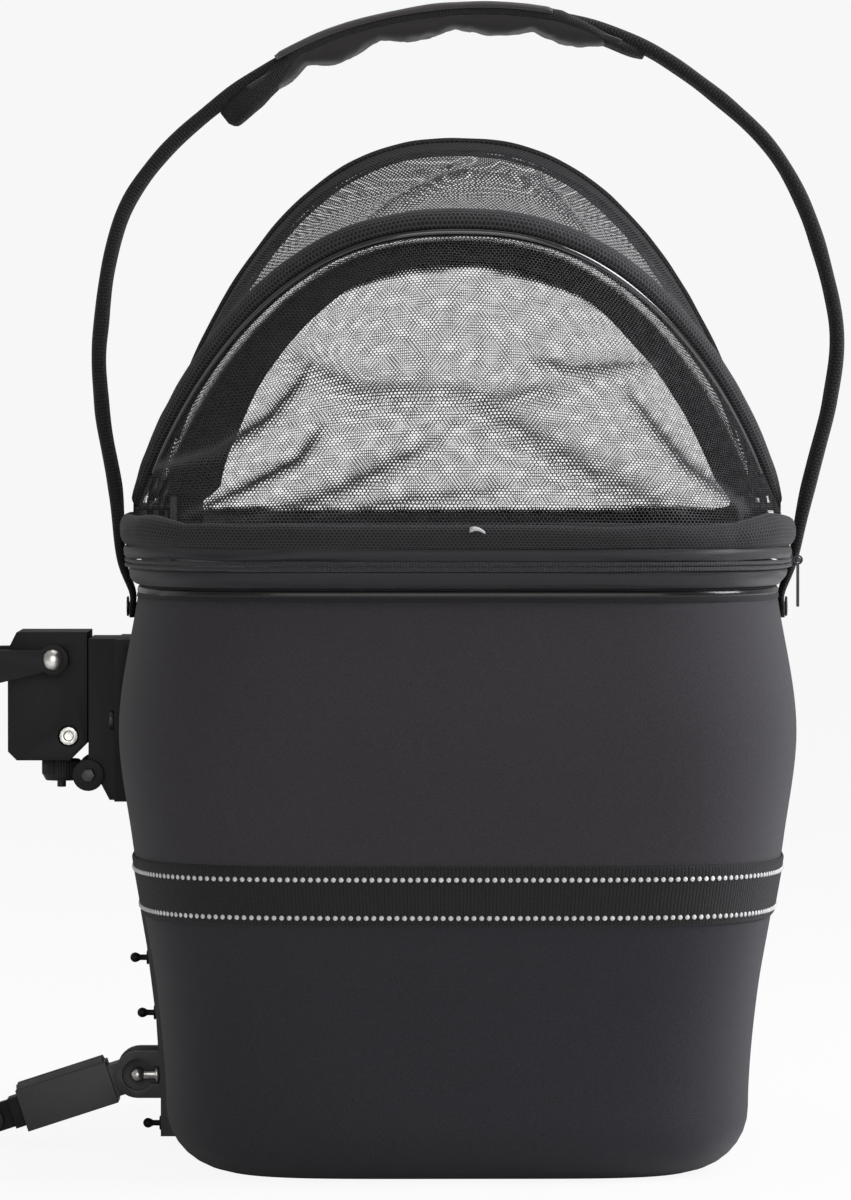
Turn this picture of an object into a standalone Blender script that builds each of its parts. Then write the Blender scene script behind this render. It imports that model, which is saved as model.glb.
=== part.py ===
"""Dog basket for a bicycle's handlebar: moulded tub, folding mesh roof, carry strap and mounting.

Metres, +Z up. +X points forward on the bicycle, Y runs across it, and the origin is the
centre of the flat base. The roof is made of cloth and three hoops, and folds like a pram hood.
"""
import math

import bmesh
import bpy
from mathutils import Matrix, Vector

COLLECTION = "dog_bicycle_basket"

# Clearance between touching pieces, running clearance, and how far a cutter overruns its cut.
GAP = 0.0003
RUNNING_GAP = 0.0005
OVERRUN = 0.002
HOLE_REACH = 0.014
WELD = 0.00001

# Basket body: two foam shells. The profile gives depth shares at shares of the rim's height.
BODY_DEPTH = 0.301
BODY_WIDTH = 0.411
RIM_HEIGHT = 0.2515
SPLIT_HEIGHT_SHARE = 0.497
SPLIT_HEIGHT = RIM_HEIGHT * SPLIT_HEIGHT_SHARE
WALL = 0.004
BASE_RADIUS = 0.026
PLAN_POWER = 5.0
PLAN_STEPS = 40
CORNER_ANGLES = (0, 22.5, 45, 67.5, 90)
LOWER_RINGS = 4
UPPER_RINGS = 6
PROFILE_SHARES = (
    (0.0, 0.864), (0.139, 0.864), (0.31, 0.890), (0.445, 0.927),
    (0.577, 0.963), (0.775, 1.0), (1.0, 0.945),
)

# Woven reflective band that covers the split between the shells.
BAND_HEIGHT = 0.026
BAND_THICKNESS = 0.0012

# Rim stack, from the glossy piping up to the hem of the roof's cloth. Offsets are outward
# from the rim's outline, and follow the stack as it leans out and in again.
PIPING_RADIUS = 0.0026
TAPE_THICKNESS = 0.0012
LOWER_TAPE_HEIGHT = 0.0071
LOWER_TAPE_OFFSET = 0.0008
TAPE_OFFSET = 0.0045
COIL_HEIGHT = 0.0018
COIL_DEPTH = 0.0022
COIL_PROUD = 0.0012
COVER_TAPE_HEIGHT = 0.0055
HEM_HEIGHT = 0.0095
HEM_BULGE = 0.0010

# Floor board and cushion inside the tub.
BOARD_THICKNESS = 0.003
BOARD_MARGIN = 0.004
CUSHION_HEIGHT = 0.026
CUSHION_CROWN = 0.006
CUSHION_MARGIN = 0.003
CUSHION_TUCK = 0.008

# Roof hoops. Every hoop turns about one line along X, and each is narrower than the next.
PIVOT_RISE = 0.0055
HOOP_HEIGHT = 0.164
HOOP_WIDTH_POWER = 0.851
HOOP_HEIGHT_POWER = 1.64
HOOP_STEPS = 20
NEAR_ROD_RADIUS = 0.0031
ROD_RADIUS = 0.0022
HOOP_CLEARANCE = 0.0008
NEAR_TILT = math.radians(-41.5)
FAR_TILT = math.radians(41.0)
EYE_RADIUS = 0.0045
EYE_REACH = 0.014
EYE_THICKNESS = 0.003
LUG_SHARE = 0.8
PIN_RADIUS = 0.0018
HOOP_PIPING_RADIUS = 0.0016
HOOP_PIPING_DROP = 0.0022
HOOP_PIPING_LEAN = 0.0046
HOOP_PIPING_SHARES = (0.13, 0.87)

# Brackets that carry the hoops, inside the rim.
BRACKET_THICKNESS = 0.003
BRACKET_CLEARANCE = 0.0024
BRACKET_WIDTH = 0.014
BRACKET_FOOT_HEIGHT = 0.022

# Mesh cloth of the roof, with the folds that gather at the end panel's lower corners.
CLOTH_THICKNESS = 0.001
CLOTH_CLEARANCE = 0.0011
ROOF_START_SHARE = 0.085
END_START_SHARE = 0.03
ROOF_SAG_SHARE = -0.08
END_BULGE_SHARE = 0.035
FOLD_SHARE = 0.022
FOLD_COUNT = 5
CLOTH_LENGTH_STEPS = 18
CLOTH_HEIGHT_STEPS = 4

# Carry strap: shares of the anchors' half distance, and of the strap's rise above them.
STRAP_RISE = 0.269
STRAP_WIDTH = 0.025
STRAP_THICKNESS = 0.0066
STRAP_END_THICKNESS = 0.0026
STRAP_TAPER_LENGTH = 0.05
STRAP_ANCHOR_DROP = 0.007
STRAP_END = 0.005
STRAP_END_SHARE = 0.7
STRAP_STEPS_PER_SPAN = 2
STRAP_PATH_SHARES = (
    (-1.0, 0.0), (-1.0, 0.025), (-1.034, 0.081), (-1.05, 0.183), (-1.094, 0.337), (-1.097, 0.465),
    (-1.02, 0.67), (-0.77, 0.83), (-0.392, 0.954), (0.04, 1.0), (0.439, 0.971),
    (0.743, 0.883), (1.02, 0.729), (1.161, 0.498), (1.148, 0.348), (1.074, 0.183),
    (1.036, 0.081), (1.0, 0.025), (1.0, 0.0),
)
RIVET_RADIUS = 0.002
RIVET_HEAD_RADIUS = 0.0045
RIVET_HEAD = 0.001

# Grip sleeve wrapped round the strap's top, slack and crumpled below.
SLEEVE_SHARES = (0.395, 0.579)
SLEEVE_WALL = 0.0022
SLEEVE_SLACK = 0.0065
SLEEVE_WAVE = 0.0022
SLEEVE_WAVES = 6
SLEEVE_WIDTH = 0.033
SLEEVE_OUTER_SHARES = (
    (1, 0), (0.82, 0.8), (0.4, 1), (-0.4, 1), (-0.82, 0.8), (-1, 0),
    (-0.85, -0.7), (-0.4, -1), (0.4, -1), (0.85, -0.7),
)
SLEEVE_HOLE_SHARES = (
    (1, 0), (1, 1), (0.4, 1), (-0.4, 1), (-1, 1), (-1, 0), (-1, -1), (-0.4, -1), (0.4, -1), (1, -1),
)

# Zip slider at the front of the rim, clear of the strap.
SLIDER_PLACE = -0.045
SLIDER_LENGTH = 0.012
SLIDER_HEIGHT = 0.0062
SLIDER_THICKNESS = 0.0015
SLIDER_LUG_WIDTH = 0.0022
PULL_LENGTH = 0.021
PULL_WIDTH = 0.006
PULL_THICKNESS = 0.0011
PULL_SLOT = 0.0036
PULL_PIN_RADIUS = 0.0012
PULL_EYE_RADIUS = 0.0022

# Hook plate on the basket's back, a channel that drops over the adapter's tongue.
HOOK_HEIGHT_SHARES = (0.6282, 0.9165)
HOOK_LOW, HOOK_HIGH = (RIM_HEIGHT * share for share in HOOK_HEIGHT_SHARES)
HOOK_BASE_WIDTH = 0.090
HOOK_BASE_THICKNESS = 0.003
HOOK_WIDTH = 0.060
HOOK_DEPTH = 0.0155
HOOK_STOP = 0.006
HOOK_NECK_WIDTH = 0.024
HOOK_FLANGE_WIDTH = 0.037
HOOK_FLANGE_DEPTH = 0.0045
HOOK_LIP = 0.0055
LOBE_RADIUS = 0.0071
LOBE_HEIGHT_SHARE = 0.155
LOBE_PROUD = 0.003
LOBE_BOLT_LENGTH = 0.004
INNER_PLATE_THICKNESS = 0.0025
INNER_PLATE_GAP = 0.0008
HOOK_BOLT_SPREAD = 0.075
HOOK_BOLT_HEIGHT_SHARE = 0.5
BOLT_RADIUS = 0.0025
BOLT_HEAD_RADIUS = 0.0042
BOLT_HEAD = 0.0022
HEX_SOCKET_RADIUS = 0.0022
LOBE_BOLT_RADIUS = 0.0032

# Handlebar adapter, its tilt joint and the two clamps for the bar.
ADAPTER_DEPTH = 0.036
ADAPTER_WIDTH = 0.052
ADAPTER_HEIGHT_SHARES = (0.6982, 0.9284)
ADAPTER_LOW, ADAPTER_HIGH = (RIM_HEIGHT * share for share in ADAPTER_HEIGHT_SHARES)
ADAPTER_EDGE = 0.004
TILT_BACK_SHARE = 0.42
TILT_HEIGHT_SHARE = 0.79
STOP_BOLT_BACK_SHARE = 0.24
STOP_BOLT_HEIGHT_SHARE = 0.19
TILT_BOLT_RADIUS = 0.0026
TILT_BOLT_HEAD_RADIUS = 0.005
TILT_BOLT_DOME = 0.0035
ARM_THICKNESS = 0.010
ARM_LOBE_RADIUS = 0.0068
ARM_HEIGHT = 0.009
BAR_RADIUS = 0.0159
BAR_CLEARANCE = 0.0002
BAR_REACH = 0.054
BAR_DROP = 0.005
CLAMP_WALL = 0.005
CLAMP_EAR_REACH = 0.009
CLAMP_EAR_DEPTH = 0.007
CLAMP_SPLIT = 0.001
CLAMP_BOLT_RADIUS = 0.0022
CLAMP_BOLT_HEAD_RADIUS = 0.0038
CLAMP_BOLT_HEAD = 0.0035

# Knurled locking knob with its screw, under the adapter.
KNOB_RADIUS = 0.00875
KNOB_HEIGHT = 0.0098
KNOB_RIBS = 20
KNOB_RIB_DEPTH = 0.0004
KNOB_BACK_SHARE = 0.36
KNOB_RADIUS_SHARES = (0.92, 1.0, 1.0, 0.82)
KNOB_DEPTH_SHARES = (0.0, 0.08, 0.7, 1.0)
KNOB_STEPS = 18
KNOB_SCREW_RADIUS = 0.002
KNOB_SCREW_TAIL = 0.003
KNOB_SCREW_REACH = 0.0075

# Lower plate on the tub's back with the support strut's ears, and the studs that hold it.
LOWER_PLATE_LOW = 0.0055
LOWER_PLATE_HEIGHT_SHARE = 0.4294
LOWER_PLATE_HIGH = RIM_HEIGHT * LOWER_PLATE_HEIGHT_SHARE
LOWER_PLATE_WIDTH = 0.044
LOWER_PLATE_THICKNESS = 0.0038
STUD_HEIGHTS_SHARE = (0.04, 0.53, 0.775)
STUD_REACH = 0.0052
STUD_HEAD_RADIUS = 0.0023
STUD_NECK_RADIUS = 0.0013
STUD_COLLAR_RADIUS = 0.0032
STUD_COLLAR = 0.001

# Support strut: pivot ears, square telescopic tube and the fork that rests on the head tube.
STRUT_PIVOT_HEIGHT = 0.033
STRUT_PIVOT_STAND_OFF = 0.0145
STRUT_TILT = math.radians(18.0)
EAR_RADIUS = 0.0105
EAR_THICKNESS = 0.006
EAR_RECESS_RADIUS = 0.0071
EAR_RECESS_DEPTH = 0.0042
BALL_RADIUS = 0.0034
BALL_SHANK_RADIUS = 0.0021
BALL_COLLAR_RADIUS = 0.0036
BALL_COLLAR = 0.0015
STRUT_PIN_RADIUS = 0.003
SLEEVE_TUBE_HEIGHT = 0.0195
SLEEVE_TUBE_WIDTH = 0.0235
SLEEVE_TUBE_START = 0.0125
SLEEVE_TUBE_END = 0.0555
SLEEVE_TUBE_WALL = 0.0025
SLEEVE_EYE_RADIUS = 0.009
SLEEVE_NECK_SHARE = 0.8
SLEEVE_FLOOR = 0.003
ARM_TUBE_LENGTH = 0.042
ARM_TUBE_OUT = 0.005
FORK_PIN_REACH = 0.0105
FORK_EYE_RADIUS = 0.0062
FORK_EYE_WIDTH = 0.009
FORK_PIN_RADIUS = 0.0022
FORK_PIN_CAP_SHARE = 1.6
FORK_EAR_THICKNESS = 0.0045
FORK_HEIGHT = 0.019
FORK_WIDTH = 0.050
FORK_WALL = 0.006
FORK_PRONG = 0.015
STRUT_KNOB_RADIUS = 0.0075
STRUT_KNOB_HEIGHT = 0.008
STRUT_KNOB_PLACE = 0.036
STRUT_KNOB_SCREW_RADIUS = 0.002

# Safety leash anchor on the inside of the back wall.
LEASH_HEIGHT_SHARE = 0.50
LEASH_TAB_WIDTH = 0.022
LEASH_TAB_HEIGHT = 0.026
LEASH_TAB_THICKNESS = 0.003
LEASH_LOOP_RADIUS = 0.0042
LEASH_STAND_OFF = 0.0153
LEASH_NECK_SHARES = (0.42, 0.95)
LEASH_ROOT_SHARE = 0.85
LEASH_RING_RADIUS = 0.0013
LEASH_RING_BEND_SHARE = 2.2
LEASH_RING_WIDTH = 0.026
LEASH_RING_DROP = 0.020


def smooth_value(table, place):
    """Read a table of (place, value) pairs along a smooth curve through its points."""
    last = len(table) - 1
    index = 0
    while index < last - 1 and place > table[index + 1][0]:
        index += 1
    x0, y0 = table[index]
    x1, y1 = table[index + 1]
    before = table[max(index - 1, 0)]
    after = table[min(index + 2, last)]
    span = x1 - x0
    slope0 = (y1 - before[1]) / (x1 - before[0])
    slope1 = (after[1] - y0) / (after[0] - x0)
    t = min(max((place - x0) / span, 0.0), 1.0)
    h00 = 2 * t ** 3 - 3 * t ** 2 + 1
    h10 = t ** 3 - 2 * t ** 2 + t
    h01 = -2 * t ** 3 + 3 * t ** 2
    h11 = t ** 3 - t ** 2
    return h00 * y0 + h10 * span * slope0 + h01 * y1 + h11 * span * slope1


def half_depth(height):
    """Half the body's outer size along X at a height."""
    return smooth_value(PROFILE_SHARES, height / RIM_HEIGHT) * BODY_DEPTH / 2


def half_width(height):
    """Half the body's outer size along Y at a height."""
    return half_depth(height) + (BODY_WIDTH - BODY_DEPTH) / 2


def signed_power(value, power):
    return math.copysign(abs(value) ** power, value)


def plan_point(depth, width, angle, height):
    """A point of the body's plan, a rounded rectangle with gently swelling sides."""
    return Vector((
        depth * signed_power(math.cos(angle), 2 / PLAN_POWER),
        width * signed_power(math.sin(angle), 2 / PLAN_POWER),
        height,
    ))


def plan_ring(depth, width, height):
    return [plan_point(depth, width, math.tau * step / PLAN_STEPS, height)
            for step in range(PLAN_STEPS)]


def link(obj, cutter=False):
    """Put an object in the parts' collection, or among the cutters, which aren't part of it."""
    name = COLLECTION + "_cutters" if cutter else COLLECTION
    bpy.data.collections[name].objects.link(obj)
    if cutter:
        obj.hide_render = True
        obj.display_type = "WIRE"
    return obj


def object_from_bmesh(name, mesh_data, cutter=False):
    mesh = bpy.data.meshes.new(name)
    bmesh.ops.recalc_face_normals(mesh_data, faces=mesh_data.faces)
    mesh_data.to_mesh(mesh)
    mesh_data.free()
    return link(bpy.data.objects.new(name, mesh), cutter)


def loft(name, rings, closed=False, cutter=False):
    """Join rings of equally many points. Ends are capped, or the last ring meets the first."""
    mesh_data = bmesh.new()
    layers = [[mesh_data.verts.new(point) for point in ring] for ring in rings]
    pairs = list(zip(layers, layers[1:]))
    if closed:
        pairs.append((layers[-1], layers[0]))
    for low, high in pairs:
        for index in range(len(low)):
            after = (index + 1) % len(low)
            mesh_data.faces.new((low[index], low[after], high[after], high[index]))
    if not closed:
        mesh_data.faces.new(layers[0])
        mesh_data.faces.new(layers[-1])
    return object_from_bmesh(name, mesh_data, cutter)


def box(name, low, high, cutter=False):
    mesh_data = bmesh.new()
    size = [b - a for a, b in zip(low, high)]
    centre = [(a + b) / 2 for a, b in zip(low, high)]
    matrix = Matrix.Translation(centre) @ Matrix.Diagonal((*size, 1))
    bmesh.ops.create_cube(mesh_data, size=1, matrix=matrix)
    return object_from_bmesh(name, mesh_data, cutter)


def cylinder(name, radius, start, end, sides=24, cutter=False):
    """A cylinder between the centres of its two ends."""
    mesh_data = bmesh.new()
    start = Vector(start)
    axis = Vector(end) - start
    turn = axis.to_track_quat("Z", "Y").to_matrix().to_4x4()
    matrix = Matrix.Translation(start + axis / 2) @ turn
    bmesh.ops.create_cone(mesh_data, cap_ends=True, segments=sides, radius1=radius,
                          radius2=radius, depth=axis.length, matrix=matrix)
    return object_from_bmesh(name, mesh_data, cutter)


def outline(name, points, start, end, axis="Y", cutter=False):
    """A flat outline pulled along an axis: points are (X, Z) along Y, and (X, Y) along Z."""
    curve = bpy.data.curves.new(name, "CURVE")
    curve.dimensions = "2D"
    curve.fill_mode = "BOTH"
    curve.extrude = (end - start) / 2
    spline = curve.splines.new("POLY")
    spline.points.add(len(points) - 1)
    for index, (across, up) in enumerate(points):
        spline.points[index].co = (across, up, 0, 1)
    spline.use_cyclic_u = True
    flat = link(bpy.data.objects.new(name + "_outline", curve))
    if axis == "Y":
        flat.rotation_euler = (math.pi / 2, 0, 0)
        flat.location = (0, (start + end) / 2, 0)
    else:
        flat.location = (0, 0, (start + end) / 2)
    return mesh_from_curve(name, flat, cutter)


def mesh_from_curve(name, source, cutter=False):
    """Turn a curve object into a welded mesh object in the same place."""
    bpy.context.view_layer.update()
    evaluated = source.evaluated_get(bpy.context.evaluated_depsgraph_get())
    mesh = bpy.data.meshes.new_from_object(evaluated)
    mesh.transform(source.matrix_world)
    mesh_data = bmesh.new()
    mesh_data.from_mesh(mesh)
    bmesh.ops.remove_doubles(mesh_data, verts=mesh_data.verts, dist=WELD)
    bpy.data.objects.remove(source)
    return object_from_bmesh(name, mesh_data, cutter)


def tube(name, points, radius, cyclic=False):
    """A slim tube of six sides along points."""
    curve = bpy.data.curves.new(name, "CURVE")
    curve.dimensions = "3D"
    curve.bevel_depth = radius
    curve.bevel_resolution = 1
    curve.use_fill_caps = True
    spline = curve.splines.new("POLY")
    spline.points.add(len(points) - 1)
    for index, point in enumerate(points):
        spline.points[index].co = (*point, 1)
    spline.use_cyclic_u = cyclic
    source = link(bpy.data.objects.new(name + "_path", curve))
    return mesh_from_curve(name, source)


def turned(name, profile, place, axis, steps=12, cutter=False):
    """A turned piece: profile is (radius, distance) pairs, far end first, from the place."""
    mesh = bpy.data.meshes.new(name)
    points = [(radius, 0, distance) for radius, distance in profile]
    edges = [(index, index + 1) for index in range(len(points) - 1)]
    mesh.from_pydata(points, edges, [])
    obj = link(bpy.data.objects.new(name, mesh), cutter)
    obj.location = place
    obj.rotation_euler = Vector(axis).to_track_quat("Z", "Y").to_euler()
    screw = obj.modifiers.new("Turn", "SCREW")
    screw.steps = steps
    screw.render_steps = steps
    screw.use_merge_vertices = True
    screw.merge_threshold = WELD
    return obj


def combine(target, other, operation):
    """Join or cut with another solid, which moves to the cutters."""
    parts = bpy.data.collections[COLLECTION]
    if other.name in parts.objects:
        parts.objects.unlink(other)
        link(other, cutter=True)
    boolean = target.modifiers.new(operation.title(), "BOOLEAN")
    boolean.operation = operation
    boolean.object = other
    return target


def join(target, other):
    return combine(target, other, "UNION")


def cut(target, other):
    return combine(target, other, "DIFFERENCE")


def bevel(target, width, segments=2):
    modifier = target.modifiers.new("Edges", "BEVEL")
    modifier.width = width
    modifier.segments = segments
    modifier.limit_method = "ANGLE"
    return target


def dress(obj, colour, roughness, metallic=0.0):
    """Give a piece its own material and smooth shading with crisp edges."""
    material = bpy.data.materials.new(obj.name)
    material.use_nodes = True
    shader = material.node_tree.nodes["Principled BSDF"]
    shader.inputs["Base Color"].default_value = (*colour, 1)
    shader.inputs["Roughness"].default_value = roughness
    shader.inputs["Metallic"].default_value = metallic
    obj.data.materials.append(material)
    if len(obj.data.polygons):
        obj.data.shade_smooth()
        obj.data.set_sharp_from_angle(angle=math.radians(35))
    return obj


def set_origin(obj, point):
    """Move an object's origin to a point and leave its shape where it is."""
    obj.data.transform(Matrix.Translation(-Vector(point)))
    obj.location = point
    return obj


FOAM = (0.035, 0.036, 0.040)
FABRIC = (0.030, 0.031, 0.036)
WEBBING = (0.022, 0.020, 0.020)
MESH_CLOTH = (0.020, 0.020, 0.022)
PLASTIC = (0.022, 0.023, 0.025)
STEEL = (0.62, 0.62, 0.63)
DARK_STEEL = (0.05, 0.05, 0.052)

RIM_DEPTH = half_depth(RIM_HEIGHT)
RIM_WIDTH = half_width(RIM_HEIGHT)
PIPING_TOP = RIM_HEIGHT + GAP + 2 * PIPING_RADIUS
LOWER_TAPE_LOW = PIPING_TOP + GAP
LOWER_TAPE_HIGH = LOWER_TAPE_LOW + LOWER_TAPE_HEIGHT
LOWER_COIL_LOW = LOWER_TAPE_HIGH + GAP
COVER_COIL_LOW = LOWER_COIL_LOW + COIL_HEIGHT + GAP
COVER_TAPE_LOW = COVER_COIL_LOW + COIL_HEIGHT + GAP
COVER_TAPE_HIGH = COVER_TAPE_LOW + COVER_TAPE_HEIGHT
HEM_LOW = COVER_TAPE_HIGH + GAP
HEM_HIGH = HEM_LOW + HEM_HEIGHT
PIVOT_HEIGHT = HEM_HIGH + PIVOT_RISE


def inset_ring(height, inset):
    return plan_ring(half_depth(height) - inset, half_width(height) - inset, height)


def heights_between(low, high, count):
    return [low + (high - low) * step / (count - 1) for step in range(count)]


def shell_profile():
    """The shells' outer outline at the back, as (half depth, height), from the base up."""
    profile = []
    for angle in CORNER_ANGLES:
        turn = math.radians(angle)
        depth = half_depth(BASE_RADIUS) - BASE_RADIUS * (1 - math.sin(turn))
        profile.append((depth, BASE_RADIUS * (1 - math.cos(turn))))
    heights = heights_between(BASE_RADIUS, SPLIT_HEIGHT, LOWER_RINGS)[1:]
    heights += heights_between(SPLIT_HEIGHT + GAP, RIM_HEIGHT, UPPER_RINGS)
    return profile + [(half_depth(height), height) for height in heights]


def facet_half_depth(height):
    """Half the body's outer depth on its facets, which run straight between its rings."""
    profile = shell_profile()
    for (depth, low), (next_depth, high) in zip(profile, profile[1:]):
        if low <= height <= high:
            return depth + (next_depth - depth) * (height - low) / (high - low)
    return profile[-1][0]


def facet_outline(low, high):
    """The outline's part between two heights, with both ends on its facets."""
    points = [(facet_half_depth(low), low)]
    points += [point for point in shell_profile() if low < point[1] < high]
    return points + [(facet_half_depth(high), high)]


def lower_tub():
    """Moulded tub with a flat base and a rolled lower edge, open at the split."""
    corner = [math.radians(angle) for angle in CORNER_ANGLES]
    outer = []
    inner = []
    for angle in corner:
        drop = BASE_RADIUS * (1 - math.sin(angle))
        rise = BASE_RADIUS * (1 - math.cos(angle))
        depth = half_depth(BASE_RADIUS) - drop
        width = half_width(BASE_RADIUS) - drop
        outer.append(plan_ring(depth, width, rise))
        inside = BASE_RADIUS - WALL
        drop = WALL + inside * (1 - math.sin(angle))
        rise = WALL + inside * (1 - math.cos(angle))
        depth = half_depth(BASE_RADIUS) - drop
        width = half_width(BASE_RADIUS) - drop
        inner.append(plan_ring(depth, width, rise))
    sides = heights_between(BASE_RADIUS, SPLIT_HEIGHT, LOWER_RINGS)[1:]
    outer += [inset_ring(height, 0) for height in sides]
    inner += [inset_ring(height, WALL) for height in sides]
    tub = loft("lower_tub", outer + inner[::-1])
    return dress(tub, FOAM, 0.85)


def upper_wall():
    """Moulded upper shell, barrel shaped, from the split to the rim."""
    heights = heights_between(SPLIT_HEIGHT + GAP, RIM_HEIGHT, UPPER_RINGS)
    outer = [inset_ring(height, 0) for height in heights]
    inner = [inset_ring(height, WALL) for height in reversed(heights)]
    wall = loft("upper_wall", outer + inner, closed=True)
    for side in (-1, 1):
        cut(wall, hole_x("strap_rivet_hole", RIVET_RADIUS, side, 0, strap_anchor_height()))
    for across in hook_bolt_places():
        cut(wall, hole_x("hook_bolt_hole", BOLT_RADIUS, -1, across, hook_bolt_height()))
    return dress(wall, FOAM, 0.85)


def hole_x(name, radius, side, across, height):
    """A cutter for a fastener's hole through the body's wall, along X."""
    inside = side * (half_depth(height) - WALL - HOLE_REACH)
    outside = side * (BODY_DEPTH / 2 + HOOK_DEPTH)
    return cylinder(name, radius + GAP, (inside, across, height), (outside, across, height),
                    12, cutter=True)


def reflective_band():
    low = SPLIT_HEIGHT - BAND_HEIGHT / 2
    heights = heights_between(low, low + BAND_HEIGHT, 3)
    outer = [inset_ring(height, -GAP - BAND_THICKNESS) for height in heights]
    inner = [inset_ring(height, -GAP) for height in reversed(heights)]
    return dress(loft("reflective_band", outer + inner, closed=True), WEBBING, 0.8)


def rim_strip(name, section, half=None):
    """A strip round the rim. Its section is (outward offset, height); half is -1, 1 or None."""
    rings = []
    steps = PLAN_STEPS if half is None else PLAN_STEPS // 2 + 1
    for step in range(steps):
        angle = math.tau * step / PLAN_STEPS
        if half == -1:
            angle += math.pi
        ring = [plan_point(RIM_DEPTH + offset, RIM_WIDTH + offset, angle, height)
                for offset, height in section]
        if half is not None and step in (0, steps - 1):
            for point in ring:
                point.y = half * GAP
        rings.append(ring)
    return loft(name, rings, closed=half is None)


def rim_stack():
    """Glossy piping, zip tapes, the two halves of the zip's coil and the roof's hem."""
    piping_height = RIM_HEIGHT + GAP + PIPING_RADIUS
    section = [(PIPING_RADIUS * (math.cos(turn) - 1), piping_height + PIPING_RADIUS * math.sin(turn))
               for turn in (math.tau * step / 8 for step in range(8))]
    dress(rim_strip("rim_piping", section), PLASTIC, 0.22)

    section = [(LOWER_TAPE_OFFSET, LOWER_TAPE_LOW), (TAPE_OFFSET, LOWER_TAPE_HIGH),
               (TAPE_OFFSET - TAPE_THICKNESS, LOWER_TAPE_HIGH),
               (LOWER_TAPE_OFFSET - TAPE_THICKNESS, LOWER_TAPE_LOW)]
    dress(rim_strip("lower_zip_tape", section), FABRIC, 0.8)

    coil_out = TAPE_OFFSET + COIL_PROUD
    for name, low in (("lower_zip_coil", LOWER_COIL_LOW), ("cover_zip_coil", COVER_COIL_LOW)):
        section = [(coil_out, low), (coil_out, low + COIL_HEIGHT),
                   (coil_out - COIL_DEPTH, low + COIL_HEIGHT), (coil_out - COIL_DEPTH, low)]
        dress(rim_strip(name, section, -1), FABRIC, 0.6)

    section = [(TAPE_OFFSET, COVER_TAPE_LOW), (TAPE_OFFSET, COVER_TAPE_HIGH),
               (TAPE_OFFSET - TAPE_THICKNESS, COVER_TAPE_HIGH),
               (TAPE_OFFSET - TAPE_THICKNESS, COVER_TAPE_LOW)]
    dress(rim_strip("cover_zip_tape", section, -1), FABRIC, 0.8)

    middle = (HEM_LOW + HEM_HIGH) / 2
    bulged = TAPE_OFFSET + HEM_BULGE
    section = [(TAPE_OFFSET, HEM_LOW), (bulged, middle), (TAPE_OFFSET, HEM_HIGH),
               (TAPE_OFFSET - TAPE_THICKNESS, HEM_HIGH), (bulged - TAPE_THICKNESS, middle),
               (TAPE_OFFSET - TAPE_THICKNESS, HEM_LOW)]
    dress(rim_strip("cover_hem", section, -1), MESH_CLOTH, 0.85)

    section[0] = (TAPE_OFFSET, LOWER_COIL_LOW)
    section[-1] = (TAPE_OFFSET - TAPE_THICKNESS, LOWER_COIL_LOW)
    dress(rim_strip("far_skirt", section, 1), MESH_CLOTH, 0.85)


def floor_pieces():
    """Floor board and the cushion on it, with a crown and drawn-in sides."""
    def inner(height, margin):
        drop = 0.0
        inside = BASE_RADIUS - WALL
        if height < BASE_RADIUS:
            above = (BASE_RADIUS - height) / inside
            drop = inside * (1 - math.sqrt(max(1 - above * above, 0)))
        inset = WALL + drop + margin
        depth = half_depth(max(height, BASE_RADIUS)) - inset
        width = half_width(max(height, BASE_RADIUS)) - inset
        return plan_ring(depth, width, height)

    low = WALL + GAP
    high = low + BOARD_THICKNESS
    foot = inner(low, BOARD_MARGIN)
    rings = [[Vector((point.x, point.y, height)) for point in foot] for height in (low, high)]
    dress(loft("floor_board", rings), PLASTIC, 0.6)

    base = high + GAP
    rings = []
    rows = ((0.0, 1.0), (0.25, 0.25), (0.55, 0.0), (0.8, 0.3), (0.92, 1.0))
    for height_share, tuck_share in rows:
        height = base + CUSHION_HEIGHT * height_share
        rings.append(inner(height, CUSHION_MARGIN + CUSHION_TUCK * tuck_share))
    top = rings[-1]
    crown_height = base + CUSHION_HEIGHT * rows[-1][0]
    for spread_share, rise_share in ((0.85, 0.55), (0.6, 0.85), (0.3, 1.0)):
        height = crown_height + CUSHION_CROWN * rise_share
        rings.append([Vector((point.x * spread_share, point.y * spread_share, height))
                      for point in top])
    dress(loft("seat_cushion", rings), FABRIC, 0.9)


def hoop_plan():
    """Each hoop's name, tilt, rod radius, half width and height, from the outermost inwards."""
    near = RIM_DEPTH + TAPE_OFFSET - NEAR_ROD_RADIUS / 2
    near_step = NEAR_ROD_RADIUS + HOOP_CLEARANCE + ROD_RADIUS
    far_step = 2 * ROD_RADIUS + HOOP_CLEARANCE
    middle = near - near_step
    return (
        ("near_hoop", NEAR_TILT, NEAR_ROD_RADIUS, near, HOOP_HEIGHT + near_step),
        ("middle_hoop", 0.0, ROD_RADIUS, middle, HOOP_HEIGHT),
        ("far_hoop", FAR_TILT, ROD_RADIUS, middle - far_step, HOOP_HEIGHT - far_step),
    )


def hoop_point(half_span, height, tilt, share, out=0.0, lean=0.0):
    """A point of a hoop: share runs from one end to the other, lean is square to its plane."""
    turn = math.pi * share
    across = -(half_span + out) * signed_power(math.cos(turn), HOOP_WIDTH_POWER)
    up = (height + out) * math.sin(turn) ** HOOP_HEIGHT_POWER
    y = up * math.sin(tilt) - lean * math.cos(tilt)
    z = up * math.cos(tilt) + lean * math.sin(tilt)
    return Vector((across, y, PIVOT_HEIGHT + z))


def share_at_height(reach, height):
    """The share of a hoop's run at which it has risen by this much."""
    return math.asin((reach / height) ** (1 / HOOP_HEIGHT_POWER)) / math.pi


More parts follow.
